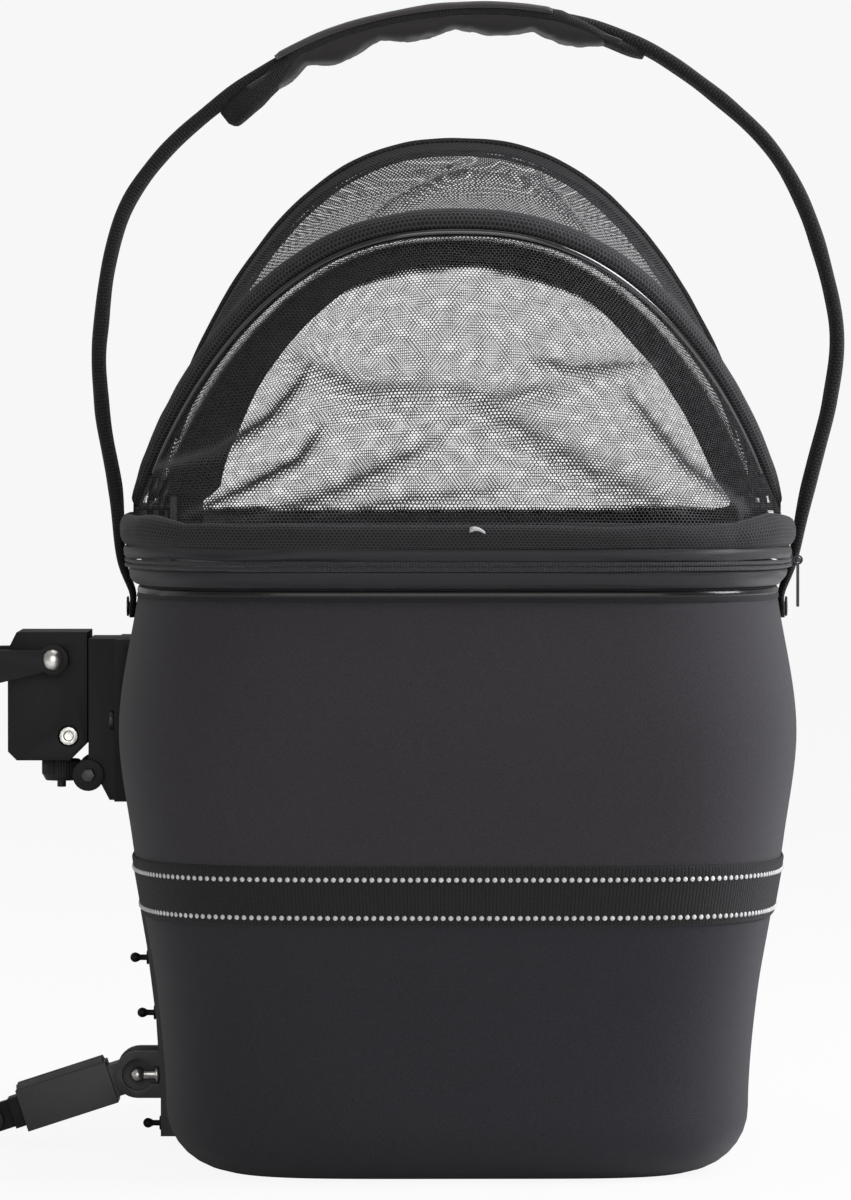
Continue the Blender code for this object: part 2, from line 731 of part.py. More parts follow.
def make_hoop(name, tilt, radius, half_span, height):
    """A sprung rod with a flat eye at each end, which turns on the bracket's pin."""
    first = share_at_height(EYE_REACH - radius, height)
    shares = [first + (1 - 2 * first) * step / HOOP_STEPS for step in range(HOOP_STEPS + 1)]
    rod = tube(name, [hoop_point(half_span, height, tilt, share) for share in shares], radius)
    for side in (-1, 1):
        inner = side * half_span - EYE_THICKNESS / 2
        outer = inner + EYE_THICKNESS
        eye = cylinder(name + "_eye", EYE_RADIUS, (inner, 0, PIVOT_HEIGHT),
                       (outer, 0, PIVOT_HEIGHT), 20)
        lug = box(name + "_lug", (inner, -EYE_RADIUS * LUG_SHARE, 0),
                  (outer, EYE_RADIUS * LUG_SHARE, EYE_REACH))
        rod_centre = hoop_point(half_span, height, 0, share_at_height(EYE_REACH, height))
        for corner in lug.data.vertices:
            if corner.co.z > EYE_REACH / 2:
                corner.co.x += side * (abs(rod_centre.x) - half_span)
        lug.data.transform(Matrix.Rotation(-tilt, 4, "X"))
        lug.data.transform(Matrix.Translation((0, 0, PIVOT_HEIGHT)))
        join(rod, eye)
        join(rod, lug)
    pin_hole = cylinder(name + "_pin_hole", PIN_RADIUS + GAP, (-BODY_DEPTH, 0, PIVOT_HEIGHT),
                        (BODY_DEPTH, 0, PIVOT_HEIGHT), 16, cutter=True)
    cut(rod, pin_hole)
    dress(rod, FABRIC, 0.7)
    return set_origin(rod, (0, 0, PIVOT_HEIGHT))


def hoops():
    for plan in hoop_plan():
        make_hoop(*plan)
    near = hoop_plan()[0]
    shares = heights_between(*HOOP_PIPING_SHARES, HOOP_STEPS + 1)
    points = [hoop_point(near[3] - HOOP_PIPING_DROP, near[4] - HOOP_PIPING_DROP, near[1],
                         share, 0.0, HOOP_PIPING_LEAN) for share in shares]
    piping = tube("near_hoop_piping", points, HOOP_PIPING_RADIUS)
    dress(piping, PLASTIC, 0.22)
    set_origin(piping, (0, 0, PIVOT_HEIGHT))


def hoop_brackets():
    """Brackets inside the rim, each with the pin that all three hoops turn on."""
    innermost = hoop_plan()[2][3] - EYE_THICKNESS / 2 - BRACKET_CLEARANCE
    outermost = hoop_plan()[0][3] + EYE_THICKNESS / 2
    foot_low = RIM_HEIGHT - BRACKET_FOOT_HEIGHT
    for name, side in (("rear_hoop_bracket", -1), ("front_hoop_bracket", 1)):
        plate_in = side * (innermost - BRACKET_THICKNESS)
        plate_out = side * innermost
        foot_out = side * (RIM_DEPTH - WALL - GAP)
        top = PIVOT_HEIGHT + EYE_RADIUS
        corners = [(plate_in, foot_low), (foot_out, foot_low), (foot_out, RIM_HEIGHT),
                   (plate_out, RIM_HEIGHT), (plate_out, top), (plate_in, top)]
        plate = outline(name, corners, -BRACKET_WIDTH / 2, BRACKET_WIDTH / 2)
        join(plate, cylinder(name + "_pin", PIN_RADIUS, ((plate_in + plate_out) / 2, 0, PIVOT_HEIGHT),
                             (side * outermost, 0, PIVOT_HEIGHT), 16))
        cut(plate, hole_x(name + "_hole", RIVET_RADIUS, side, 0, strap_anchor_height()))
        dress(plate, DARK_STEEL, 0.4, 0.8)


def rim_run(side, offset, height):
    """Points round half of the rim, from the rear to the front."""
    points = []
    for step in range(PLAN_STEPS + 1):
        share = step / PLAN_STEPS
        turn = math.pi * (1 + share) if side < 0 else math.pi * (1 - share)
        points.append(plan_point(RIM_DEPTH + offset, RIM_WIDTH + offset, turn, height))
    return points


def point_along(points, share):
    """The point at a share of the length of a run of points."""
    lengths = [(end - start).length for start, end in zip(points, points[1:])]
    left = sum(lengths) * share
    for start, end, length in zip(points, points[1:], lengths):
        if left <= length:
            return start.lerp(end, left / length)
        left -= length
    return points[-1].copy()


def cloth_sheet(name, low_edge, high_edge, first, bulge, folds=0.0):
    """A thin cloth between two edges, each a function of the share along it.

    Bulge and folds are shares of the local distance between the edges.
    """
    mesh_data = bmesh.new()
    rows = []
    for step in range(CLOTH_LENGTH_STEPS + 1):
        share = first + (1 - 2 * first) * step / CLOTH_LENGTH_STEPS
        low = low_edge(share)
        high = high_edge(share)
        span = (high - low).length
        row = []
        for level in range(CLOTH_HEIGHT_STEPS + 1):
            rise = level / CLOTH_HEIGHT_STEPS
            point = low.lerp(high, rise)
            outward = Vector((0, point.y, point.z - PIVOT_HEIGHT)).normalized()
            hump = math.sin(math.pi * rise)
            gather = math.sin(math.pi * FOLD_COUNT * share * 2) * (1 - rise) * rise * 4
            edge_share = abs(2 * share - 1) ** 1.5
            row.append(mesh_data.verts.new(
                point + outward * span * (bulge * hump + folds * gather * edge_share)))
        rows.append(row)
    for left, right in zip(rows, rows[1:]):
        for level in range(CLOTH_HEIGHT_STEPS):
            mesh_data.faces.new((left[level], right[level], right[level + 1], left[level + 1]))
    sheet = object_from_bmesh(name, mesh_data)
    solidify = sheet.modifiers.new("Cloth", "SOLIDIFY")
    solidify.thickness = CLOTH_THICKNESS
    solidify.offset = 0
    dress(sheet, MESH_CLOTH, 0.9)
    return set_origin(sheet, (0, 0, PIVOT_HEIGHT))


def cloth_clearance(share, radius):
    """How far cloth stays from a hoop's middle line: more beside its eye than along its rod."""
    rise = HOOP_HEIGHT * math.sin(math.pi * share) ** HOOP_HEIGHT_POWER
    past = min(max(rise / EYE_REACH - 1, 0), 1)
    return EYE_RADIUS + (radius - EYE_RADIUS) * past + CLOTH_CLEARANCE


def roof_cloth():
    """Two roof panels between the hoops, and two end panels from a hoop down to the hem."""
    near, middle, far = hoop_plan()

    def beside(hoop, toward, radius):
        return lambda share: hoop_point(hoop[3], hoop[4], hoop[1], share, 0.0,
                                        -toward * cloth_clearance(share, radius))

    def hem(side):
        points = rim_run(side, TAPE_OFFSET - TAPE_THICKNESS / 2, HEM_HIGH + CLOTH_CLEARANCE)
        return lambda share: point_along(points, share)

    def under_piping(share):
        lean = HOOP_PIPING_LEAN + HOOP_PIPING_RADIUS + CLOTH_CLEARANCE
        return hoop_point(near[3] - HOOP_PIPING_DROP, near[4] - HOOP_PIPING_DROP, near[1],
                          share, 0.0, lean)

    cloth_sheet("near_roof_mesh", beside(near, 1, near[2]), beside(middle, -1, middle[2]),
                ROOF_START_SHARE, ROOF_SAG_SHARE)
    cloth_sheet("far_roof_mesh", beside(middle, 1, middle[2]), beside(far, -1, far[2]),
                ROOF_START_SHARE, ROOF_SAG_SHARE)
    cloth_sheet("near_end_mesh", hem(-1), under_piping, END_START_SHARE, END_BULGE_SHARE,
                FOLD_SHARE)
    cloth_sheet("far_end_mesh", hem(1), beside(far, 1, far[2]), END_START_SHARE, END_BULGE_SHARE,
                FOLD_SHARE)


def strap_anchor_height():
    return RIM_HEIGHT - STRAP_ANCHOR_DROP


def strap_anchor_reach():
    """How far each strap end's middle lies from the centre, clear of the wall's bulge below."""
    lowest = strap_anchor_height() - STRAP_WIDTH / 2
    return half_depth(lowest) + GAP + STRAP_END_THICKNESS / 2


def strap_path():
    """Centreline of the strap, as (X, Z), with the thickness at each point."""
    table_x = []
    table_z = []
    reach = strap_anchor_reach()
    for index, (across, rise) in enumerate(STRAP_PATH_SHARES):
        table_x.append((index, across * reach))
        table_z.append((index, strap_anchor_height() + rise * STRAP_RISE))
    last = len(STRAP_PATH_SHARES) - 1
    low = strap_anchor_height() - STRAP_END
    path = [Vector((-reach, 0, low))]
    for step in range(last * STRAP_STEPS_PER_SPAN + 1):
        place = step / STRAP_STEPS_PER_SPAN
        path.append(Vector((smooth_value(table_x, place), 0, smooth_value(table_z, place))))
    path.append(Vector((reach, 0, low)))
    return path


def path_normals(path):
    normals = []
    for index in range(len(path)):
        along = path[min(index + 1, len(path) - 1)] - path[max(index - 1, 0)]
        normals.append(Vector((-along.z, 0, along.x)).normalized())
    return normals


def carry_strap():
    """Stiff webbing handle over the roof, thin where it is fastened to the walls."""
    path = strap_path()
    rings = []
    for point, normal in zip(path, path_normals(path)):
        rise = point.z - strap_anchor_height()
        full = min(max((rise - RIVET_HEAD_RADIUS) / STRAP_TAPER_LENGTH, 0), 1)
        thick = STRAP_END_THICKNESS + (STRAP_THICKNESS - STRAP_END_THICKNESS) * full
        half = STRAP_WIDTH / 2
        if rise < 0:
            half = math.sqrt(half ** 2 - (half * STRAP_END_SHARE) ** 2)
        chamfer = thick / 4
        side = Vector((0, 1, 0))
        ring = []
        for across, out in ((half, thick / 2 - chamfer), (half - chamfer, thick / 2),
                            (chamfer - half, thick / 2), (-half, thick / 2 - chamfer),
                            (-half, chamfer - thick / 2), (chamfer - half, -thick / 2),
                            (half - chamfer, -thick / 2), (half, chamfer - thick / 2)):
            ring.append(point + side * across + normal * out)
        rings.append(ring)
    strap = loft("carry_strap", rings)
    for side in (-1, 1):
        cut(strap, hole_x("strap_hole", RIVET_RADIUS, side, 0, strap_anchor_height()))
    dress(strap, WEBBING, 0.8)
    set_origin(strap, (0, 0, strap_anchor_height()))


def strap_rivets():
    """Flat rivets through the strap's ends, the wall and the hoop brackets behind it."""
    height = strap_anchor_height()
    outside = strap_anchor_reach() + STRAP_END_THICKNESS / 2 + GAP
    inside = hoop_plan()[2][3] - EYE_THICKNESS / 2 - BRACKET_CLEARANCE - BRACKET_THICKNESS - GAP
    for name, side in (("rear_strap_rivet", -1), ("front_strap_rivet", 1)):
        head = outside - inside + RIVET_HEAD
        profile = [(0, head), (RIVET_HEAD_RADIUS, head), (RIVET_HEAD_RADIUS, head - RIVET_HEAD),
                   (RIVET_RADIUS, head - RIVET_HEAD), (RIVET_RADIUS, 0),
                   (RIVET_HEAD_RADIUS, 0), (RIVET_HEAD_RADIUS, -RIVET_HEAD), (0, -RIVET_HEAD)]
        rivet = turned(name, profile, (side * inside, 0, height), (side, 0, 0))
        dress(rivet, DARK_STEEL, 0.4, 0.8)


def grip_sleeve():
    """Padded cover wrapped round the top of the strap, slack and crumpled underneath."""
    path = strap_path()
    last = len(path) - 1
    start, end = (round(share * last) for share in SLEEVE_SHARES)
    places = heights_between(start, end, 2 * (end - start) + 1)
    centres = [path[int(place)].lerp(path[int(place) + 1], place - int(place))
               for place in places]
    outer = []
    inner = []
    for index, (centre, normal) in enumerate(zip(centres, path_normals(centres))):
        share = index / (len(places) - 1)
        wave = math.sin(math.tau * SLEEVE_WAVES * share)
        wave += math.sin(SLEEVE_WAVES * SLEEVE_WAVES * share) / 2
        slack = SLEEVE_SLACK * math.sin(math.pi * (share + 1) / 3)
        below = STRAP_THICKNESS / 2 + SLEEVE_WALL + slack + SLEEVE_WAVE * wave / 2
        above = STRAP_THICKNESS / 2 + SLEEVE_WALL
        half = SLEEVE_WIDTH / 2
        hole_half = STRAP_WIDTH / 2 + RUNNING_GAP
        hole_up = STRAP_THICKNESS / 2 + RUNNING_GAP
        side = Vector((0, 1, 0))
        outer.append([centre + side * half * across
                      + normal * (above * up if up > 0 else below * up)
                      for across, up in SLEEVE_OUTER_SHARES])
        inner.append([centre + side * hole_half * across + normal * hole_up * up
                      for across, up in SLEEVE_HOLE_SHARES])
    sleeve = loft("grip_sleeve", outer + inner[::-1], closed=True)
    dress(sleeve, FABRIC, 0.85)
    set_origin(sleeve, (0, 0, strap_anchor_height()))


def zip_slider():
    """Slider on the zip's coil with its hanging pull."""
    face = RIM_DEPTH + TAPE_OFFSET + COIL_PROUD + GAP
    middle = LOWER_COIL_LOW + COIL_HEIGHT
    outer = face + SLIDER_THICKNESS
    centre = (outer, SLIDER_PLACE, middle)
    slider = box("zip_slider", (face, SLIDER_PLACE - SLIDER_LENGTH / 2, middle - SLIDER_HEIGHT / 2),
                 (outer, SLIDER_PLACE + SLIDER_LENGTH / 2, middle + SLIDER_HEIGHT / 2))
    hinge_x, _, hinge_z = pull_hinge()
    join(slider, box("slider_lug", (face + GAP, SLIDER_PLACE - SLIDER_LUG_WIDTH / 2,
                                    hinge_z - PULL_PIN_RADIUS),
                     (hinge_x, SLIDER_PLACE + SLIDER_LUG_WIDTH / 2, hinge_z + PULL_PIN_RADIUS)))
    side = PULL_WIDTH / 2
    join(slider, cylinder("slider_pin", PULL_PIN_RADIUS, (hinge_x, SLIDER_PLACE - side, hinge_z),
                          (hinge_x, SLIDER_PLACE + side, hinge_z), 12))
    dress(slider, DARK_STEEL, 0.35, 0.9)
    set_origin(slider, centre)

    pull = box("zip_pull", (hinge_x - PULL_THICKNESS / 2, SLIDER_PLACE - side,
                            hinge_z - PULL_LENGTH),
               (hinge_x + PULL_THICKNESS / 2, SLIDER_PLACE + side, hinge_z))
    join(pull, cylinder("pull_eye", PULL_EYE_RADIUS, (hinge_x, SLIDER_PLACE - side, hinge_z),
                        (hinge_x, SLIDER_PLACE + side, hinge_z), 16))
    reach = PULL_EYE_RADIUS + RUNNING_GAP
    cut(pull, box("pull_slot", (hinge_x - reach, SLIDER_PLACE - PULL_SLOT / 2, hinge_z - reach),
                  (hinge_x + reach, SLIDER_PLACE + PULL_SLOT / 2, hinge_z + reach), cutter=True))
    cut(pull, cylinder("pull_hole", PULL_PIN_RADIUS + GAP,
                       (hinge_x, SLIDER_PLACE - PULL_WIDTH, hinge_z),
                       (hinge_x, SLIDER_PLACE + PULL_WIDTH, hinge_z), 12, cutter=True))
    dress(pull, DARK_STEEL, 0.35, 0.9)
    set_origin(pull, pull_hinge())


def pull_hinge():
    """Where the zip's pull turns: the pin that the slider's lug carries."""
    face = RIM_DEPTH + TAPE_OFFSET + COIL_PROUD + GAP
    return (face + SLIDER_THICKNESS + RUNNING_GAP + PULL_EYE_RADIUS, SLIDER_PLACE,
            LOWER_COIL_LOW + COIL_HEIGHT)


def tub_half_depth(height):
    """Half the tub's outer depth, with the rolled lower edge."""
    if height >= BASE_RADIUS:
        return half_depth(height)
    rise = (BASE_RADIUS - height) / BASE_RADIUS
    return half_depth(BASE_RADIUS) - BASE_RADIUS * (1 - math.sqrt(1 - rise * rise))


def hook_bolt_places():
    return (-HOOK_BOLT_SPREAD / 2, HOOK_BOLT_SPREAD / 2)


def hook_bolt_height():
    return HOOK_LOW + (HOOK_HIGH - HOOK_LOW) * HOOK_BOLT_HEIGHT_SHARE


def hook_base_face():
    """Outer face of the hook plate's base, as a distance behind the centre."""
    return BODY_DEPTH / 2 + GAP + HOOK_BASE_THICKNESS


def hook_face():
    return BODY_DEPTH / 2 + HOOK_DEPTH


def adapter_face():
    return hook_face() + RUNNING_GAP


def hook_plate():
    """Plate against the back wall with a channel, open below, for the adapter's tongue."""
    points = [(-depth - GAP, height) for depth, height in facet_outline(HOOK_LOW, HOOK_HIGH)]
    points += [(-hook_base_face(), HOOK_HIGH), (-hook_base_face(), HOOK_LOW)]
    plate = outline("hook_plate", points, -HOOK_BASE_WIDTH / 2, HOOK_BASE_WIDTH / 2)
    root = hook_base_face() - HOOK_BASE_THICKNESS / 2
    span = HOOK_HIGH - HOOK_LOW
    points = [(-root, HOOK_HIGH), (-hook_face(), HOOK_HIGH), (-hook_face(), HOOK_LOW + span / 4),
              (-hook_base_face() - HOOK_LIP / 2, HOOK_LOW), (-root, HOOK_LOW)]
    join(plate, outline("hook_housing", points, -HOOK_WIDTH / 2, HOOK_WIDTH / 2))
    lobe_height = HOOK_LOW + span * LOBE_HEIGHT_SHARE
    for side in (-1, 1):
        near = side * (ADAPTER_WIDTH / 2 + RUNNING_GAP * 2)
        far = side * (HOOK_WIDTH / 2 + LOBE_PROUD)
        join(plate, cylinder("hook_lobe", LOBE_RADIUS, (-hook_face(), near, lobe_height),
                             (-hook_face(), far, lobe_height), 24))
        hole_end = far - side * LOBE_BOLT_LENGTH - side * GAP
        cut(plate, cylinder("lobe_bolt_hole", LOBE_BOLT_RADIUS / 2 + GAP,
                            (-hook_face(), far + side * OVERRUN, lobe_height),
                            (-hook_face(), hole_end, lobe_height), 12, cutter=True))
    top = HOOK_HIGH - HOOK_STOP
    cut(plate, box("flange_channel", (-hook_base_face() - HOOK_FLANGE_DEPTH,
                                      -HOOK_FLANGE_WIDTH / 2, HOOK_LOW - OVERRUN),
                   (-hook_base_face(), HOOK_FLANGE_WIDTH / 2, top), cutter=True))
    cut(plate, box("neck_channel", (-hook_face() - OVERRUN, -HOOK_NECK_WIDTH / 2,
                                    HOOK_LOW - OVERRUN),
                   (-hook_base_face() - HOOK_FLANGE_DEPTH / 2, HOOK_NECK_WIDTH / 2, top),
                   cutter=True))
    for across in hook_bolt_places():
        cut(plate, hole_x("plate_bolt_hole", BOLT_RADIUS, -1, across, hook_bolt_height()))
    dress(plate, PLASTIC, 0.45)

    for name, side in (("near_lobe_bolt", -1), ("far_lobe_bolt", 1)):
        far = HOOK_WIDTH / 2 + LOBE_PROUD
        profile = [(0, BOLT_HEAD), (LOBE_BOLT_RADIUS, BOLT_HEAD), (LOBE_BOLT_RADIUS, GAP),
                   (LOBE_BOLT_RADIUS / 2, GAP), (LOBE_BOLT_RADIUS / 2, -LOBE_BOLT_LENGTH),
                   (0, -LOBE_BOLT_LENGTH)]
        bolt = turned(name, profile, (-hook_face(), side * far, lobe_height), (0, side, 0), 6)
        dress(bolt, DARK_STEEL, 0.35, 0.9)


def hook_fasteners():
    """Stiffener inside the back wall, and the bolts that clamp the hook plate to it."""
    top = RIM_HEIGHT - BRACKET_FOOT_HEIGHT - GAP
    inner_face = [(-depth + WALL + INNER_PLATE_GAP, height)
                  for depth, height in facet_outline(HOOK_LOW, top)]
    far_face = [(across + INNER_PLATE_THICKNESS, height) for across, height in inner_face]
    plate = outline("inner_plate", inner_face + far_face[::-1], -HOOK_BASE_WIDTH / 2,
                    HOOK_BASE_WIDTH / 2)
    for across in hook_bolt_places():
        cut(plate, hole_x("inner_bolt_hole", BOLT_RADIUS, -1, across, hook_bolt_height()))
    dress(plate, PLASTIC, 0.5)

    height = hook_bolt_height()
    nut = max(-facet_half_depth(height - BOLT_HEAD_RADIUS),
              -facet_half_depth(height + BOLT_HEAD_RADIUS))
    nut += WALL + INNER_PLATE_GAP + INNER_PLATE_THICKNESS + GAP
    for index, across in enumerate(hook_bolt_places(), 1):
        grip = hook_base_face() + GAP + nut
        profile = [(0, grip + BOLT_HEAD / 2), (HEX_SOCKET_RADIUS, grip + BOLT_HEAD / 2),
                   (HEX_SOCKET_RADIUS, grip + BOLT_HEAD), (BOLT_HEAD_RADIUS, grip + BOLT_HEAD),
                   (BOLT_HEAD_RADIUS, grip), (BOLT_RADIUS, grip), (BOLT_RADIUS, 0),
                   (BOLT_HEAD_RADIUS, 0), (BOLT_HEAD_RADIUS, -BOLT_HEAD), (0, -BOLT_HEAD)]
        bolt = turned("hook_bolt_%d" % index, profile, (nut, across, height), (-1, 0, 0))
        dress(bolt, DARK_STEEL, 0.35, 0.9)


def tilt_point():
    """The adapter's tilt axis, as (X, Z)."""
    return (-adapter_face() - ADAPTER_DEPTH * TILT_BACK_SHARE,
            ADAPTER_LOW + (ADAPTER_HIGH - ADAPTER_LOW) * TILT_HEIGHT_SHARE)


def bar_point():
    """The handlebar's centre, as (X, Z)."""
    across, height = tilt_point()
    return across - BAR_REACH, height - BAR_DROP


def adapter_body():
    """Block with a tongue for the hook plate's channel, cut back below for the lobes."""
    front = -adapter_face()
    back = front - ADAPTER_DEPTH
    edge = ADAPTER_EDGE
    points = [(front, ADAPTER_HIGH), (front, ADAPTER_LOW + edge * 2),
              (front - edge * 2, ADAPTER_LOW), (back + edge, ADAPTER_LOW),
              (back, ADAPTER_LOW + edge), (back, ADAPTER_HIGH - edge * 2),
              (back + edge, ADAPTER_HIGH)]
    body = outline("adapter_body", points, -ADAPTER_WIDTH / 2, ADAPTER_WIDTH / 2)
    top = HOOK_HIGH - HOOK_STOP - GAP
    low = ADAPTER_LOW + edge * 2
    flange_far = -hook_base_face() - GAP
    flange_near = flange_far - HOOK_FLANGE_DEPTH + GAP * 2
    neck_half = HOOK_NECK_WIDTH / 2 - GAP
    flange_half = HOOK_FLANGE_WIDTH / 2 - GAP
    join(body, box("adapter_neck", (front - edge, -neck_half, low),
                   ((flange_near + flange_far) / 2, neck_half, top)))
    join(body, box("adapter_flange", (flange_near, -flange_half, low),
                   (flange_far, flange_half, top)))
    across, height = tilt_point()
    half = ADAPTER_WIDTH / 2 + OVERRUN
    cut(body, cylinder("tilt_hole", TILT_BOLT_RADIUS + GAP, (across, -half, height),
                       (across, half, height), 16, cutter=True))
    across, height = stop_bolt_point()
    cut(body, cylinder("stop_hole", BOLT_RADIUS + GAP, (across, -half, height),
                       (across, half, height), 16, cutter=True))
    for side in (-1, 1):
        seat = side * (ADAPTER_WIDTH / 2 - BOLT_HEAD - GAP)
        cut(body, cylinder("stop_bolt_seat", BOLT_HEAD_RADIUS + RUNNING_GAP, (across, seat, height),
                           (across, side * half, height), 20, cutter=True))
    across = knob_place()
    cut(body, cylinder("knob_hole", KNOB_SCREW_RADIUS + GAP,
                       (across, 0, ADAPTER_LOW - OVERRUN),
                       (across, 0, ADAPTER_LOW + KNOB_SCREW_REACH + GAP), 12, cutter=True))
    dress(body, PLASTIC, 0.4)
    set_origin(body, (front, 0, ADAPTER_HIGH))

    half = ADAPTER_WIDTH / 2 - BOLT_HEAD
    across, height = stop_bolt_point()
    profile = [(0, half + BOLT_HEAD / 2), (HEX_SOCKET_RADIUS, half + BOLT_HEAD / 2),
               (HEX_SOCKET_RADIUS, half + BOLT_HEAD), (BOLT_HEAD_RADIUS, half + BOLT_HEAD),
               (BOLT_HEAD_RADIUS, half), (BOLT_RADIUS, half), (BOLT_RADIUS, -half),
               (BOLT_HEAD_RADIUS, -half), (BOLT_HEAD_RADIUS, -half - BOLT_HEAD),
               (0, -half - BOLT_HEAD)]
    dress(turned("stop_bolt", profile, (across, 0, height), (0, -1, 0)), STEEL, 0.25, 1.0)


def stop_bolt_point():
    return (-adapter_face() - ADAPTER_DEPTH * STOP_BOLT_BACK_SHARE,
            ADAPTER_LOW + (ADAPTER_HIGH - ADAPTER_LOW) * STOP_BOLT_HEIGHT_SHARE)


def knob_place():
    return -adapter_face() - ADAPTER_DEPTH * KNOB_BACK_SHARE


def lock_knob():
    """Knob and screw in one, which lock the basket on the adapter."""
    top = ADAPTER_LOW - GAP
    low = -KNOB_HEIGHT
    profile = [(0, KNOB_SCREW_REACH), (KNOB_SCREW_RADIUS, KNOB_SCREW_REACH),
               (KNOB_SCREW_RADIUS, 0)]
    profile += [(KNOB_RADIUS * wide, low * down)
                for wide, down in zip(KNOB_RADIUS_SHARES, KNOB_DEPTH_SHARES)]
    profile += [(KNOB_SCREW_RADIUS, low), (KNOB_SCREW_RADIUS, low - KNOB_SCREW_TAIL),
                (0, low - KNOB_SCREW_TAIL)]
    knob = turned("lock_knob", profile, (knob_place(), 0, top), (0, 0, 1), KNOB_STEPS)
    dress(knob, PLASTIC, 0.5)


def clamp_span(side):
    near = ADAPTER_WIDTH / 2 + RUNNING_GAP
    return sorted((side * near, side * (near + ARM_THICKNESS)))


def clamp_half(name, side, toward):
    """Half of a bar clamp. Toward is 1 for the half with the arm, and -1 for its cap."""
    start, end = clamp_span(side)
    bar_x, bar_z = bar_point()
    outer = BAR_RADIUS + CLAMP_WALL
    ring = cylinder(name, outer, (bar_x, start, bar_z), (bar_x, end, bar_z), 32)
    ear = outer + CLAMP_EAR_REACH
    join(ring, box(name + "_ears", (bar_x - CLAMP_EAR_DEPTH, start, bar_z - ear),
                   (bar_x + CLAMP_EAR_DEPTH, end, bar_z + ear)))
    tilt_x, tilt_z = tilt_point()
    if toward > 0:
        half = ARM_HEIGHT / 2
        join(ring, cylinder(name + "_lobe", ARM_LOBE_RADIUS, (tilt_x, start, tilt_z),
                            (tilt_x, end, tilt_z), 24))
        points = [(tilt_x, tilt_z - half), (tilt_x, tilt_z + half),
                  (bar_x + BAR_RADIUS, bar_z + half * 2), (bar_x + BAR_RADIUS, bar_z - half * 2)]
        join(ring, outline(name + "_lever", points, start, end))
    low, high = start - OVERRUN, end + OVERRUN
    cut(ring, cylinder(name + "_bore", BAR_RADIUS + BAR_CLEARANCE, (bar_x, low, bar_z),
                       (bar_x, high, bar_z), 32, cutter=True))
    reach = ear + OVERRUN
    split = bar_x + toward * CLAMP_SPLIT / 2
    beyond = bar_x - toward * reach
    cut(ring, box(name + "_other_half", (min(split, beyond), low, bar_z - reach),
                  (max(split, beyond), high, bar_z + reach), cutter=True))
    middle = (start + end) / 2
    for up in (-1, 1):
        height = bar_z + up * (outer + CLAMP_EAR_REACH / 2)
        cut(ring, cylinder(name + "_bolt_hole", CLAMP_BOLT_RADIUS + GAP,
                           (bar_x - reach, middle, height), (bar_x + reach, middle, height),
                           12, cutter=True))
    if toward > 0:
        cut(ring, cylinder(name + "_tilt_hole", TILT_BOLT_RADIUS + GAP, (tilt_x, low, tilt_z),
                           (tilt_x, high, tilt_z), 16, cutter=True))
    dress(ring, PLASTIC, 0.4)
    return set_origin(ring, (tilt_x, 0, tilt_z))


def bar_clamps():
    """Two split clamps for the handlebar on arms beside the adapter, with their bolts."""
    bar_x, bar_z = bar_point()
    for word, side in (("near", -1), ("far", 1)):
        clamp_half(word + "_clamp_arm", side, 1)
        clamp_half(word + "_clamp_cap", side, -1)
        middle = sum(clamp_span(side)) / 2
        for place, up in (("lower", -1), ("upper", 1)):
            height = bar_z + up * (BAR_RADIUS + CLAMP_WALL + CLAMP_EAR_REACH / 2)
            grip = CLAMP_EAR_DEPTH + GAP
            head = grip + CLAMP_BOLT_HEAD
            profile = [(0, grip + CLAMP_BOLT_HEAD / 2), (HEX_SOCKET_RADIUS, grip + CLAMP_BOLT_HEAD / 2),
                       (HEX_SOCKET_RADIUS, head), (CLAMP_BOLT_HEAD_RADIUS, head),
                       (CLAMP_BOLT_HEAD_RADIUS, grip), (CLAMP_BOLT_RADIUS, grip),
                       (CLAMP_BOLT_RADIUS, -grip), (CLAMP_BOLT_HEAD_RADIUS, -grip),
                       (CLAMP_BOLT_HEAD_RADIUS, -grip - BOLT_HEAD), (0, -grip - BOLT_HEAD)]
            bolt = turned("%s_%s_clamp_bolt" % (word, place), profile, (bar_x, middle, height),
                          (-1, 0, 0), 12)
            dress(bolt, DARK_STEEL, 0.35, 0.9)
    half = ADAPTER_WIDTH / 2 + RUNNING_GAP + ARM_THICKNESS + GAP
    dome = [(TILT_BOLT_HEAD_RADIUS * math.cos(turn), half + TILT_BOLT_DOME * math.sin(turn))
            for turn in (math.radians(angle) for angle in (60, 30, 0))]
    profile = [(0, half + TILT_BOLT_DOME)] + dome
    profile += [(TILT_BOLT_RADIUS, half), (TILT_BOLT_RADIUS, -half),
                (TILT_BOLT_HEAD_RADIUS, -half), (TILT_BOLT_HEAD_RADIUS, -half - TILT_BOLT_DOME),
                (0, -half - TILT_BOLT_DOME)]
    tilt_x, tilt_z = tilt_point()
    bolt = turned("tilt_bolt", profile, (tilt_x, 0, tilt_z), (0, -1, 0))
    dress(bolt, STEEL, 0.2, 1.0)


def strut_pivot():
    return Vector((-half_depth(STRUT_PIVOT_HEIGHT) - STRUT_PIVOT_STAND_OFF, 0,
                   STRUT_PIVOT_HEIGHT))


def lower_plate_face(height):
    """Outer face of the lower plate at a height, as a distance behind the centre."""
    return facet_half_depth(max(height, BASE_RADIUS)) + GAP + LOWER_PLATE_THICKNESS


def stud_heights():
    span = LOWER_PLATE_HIGH - LOWER_PLATE_LOW
    return [LOWER_PLATE_LOW + span * share for share in STUD_HEIGHTS_SHARE]


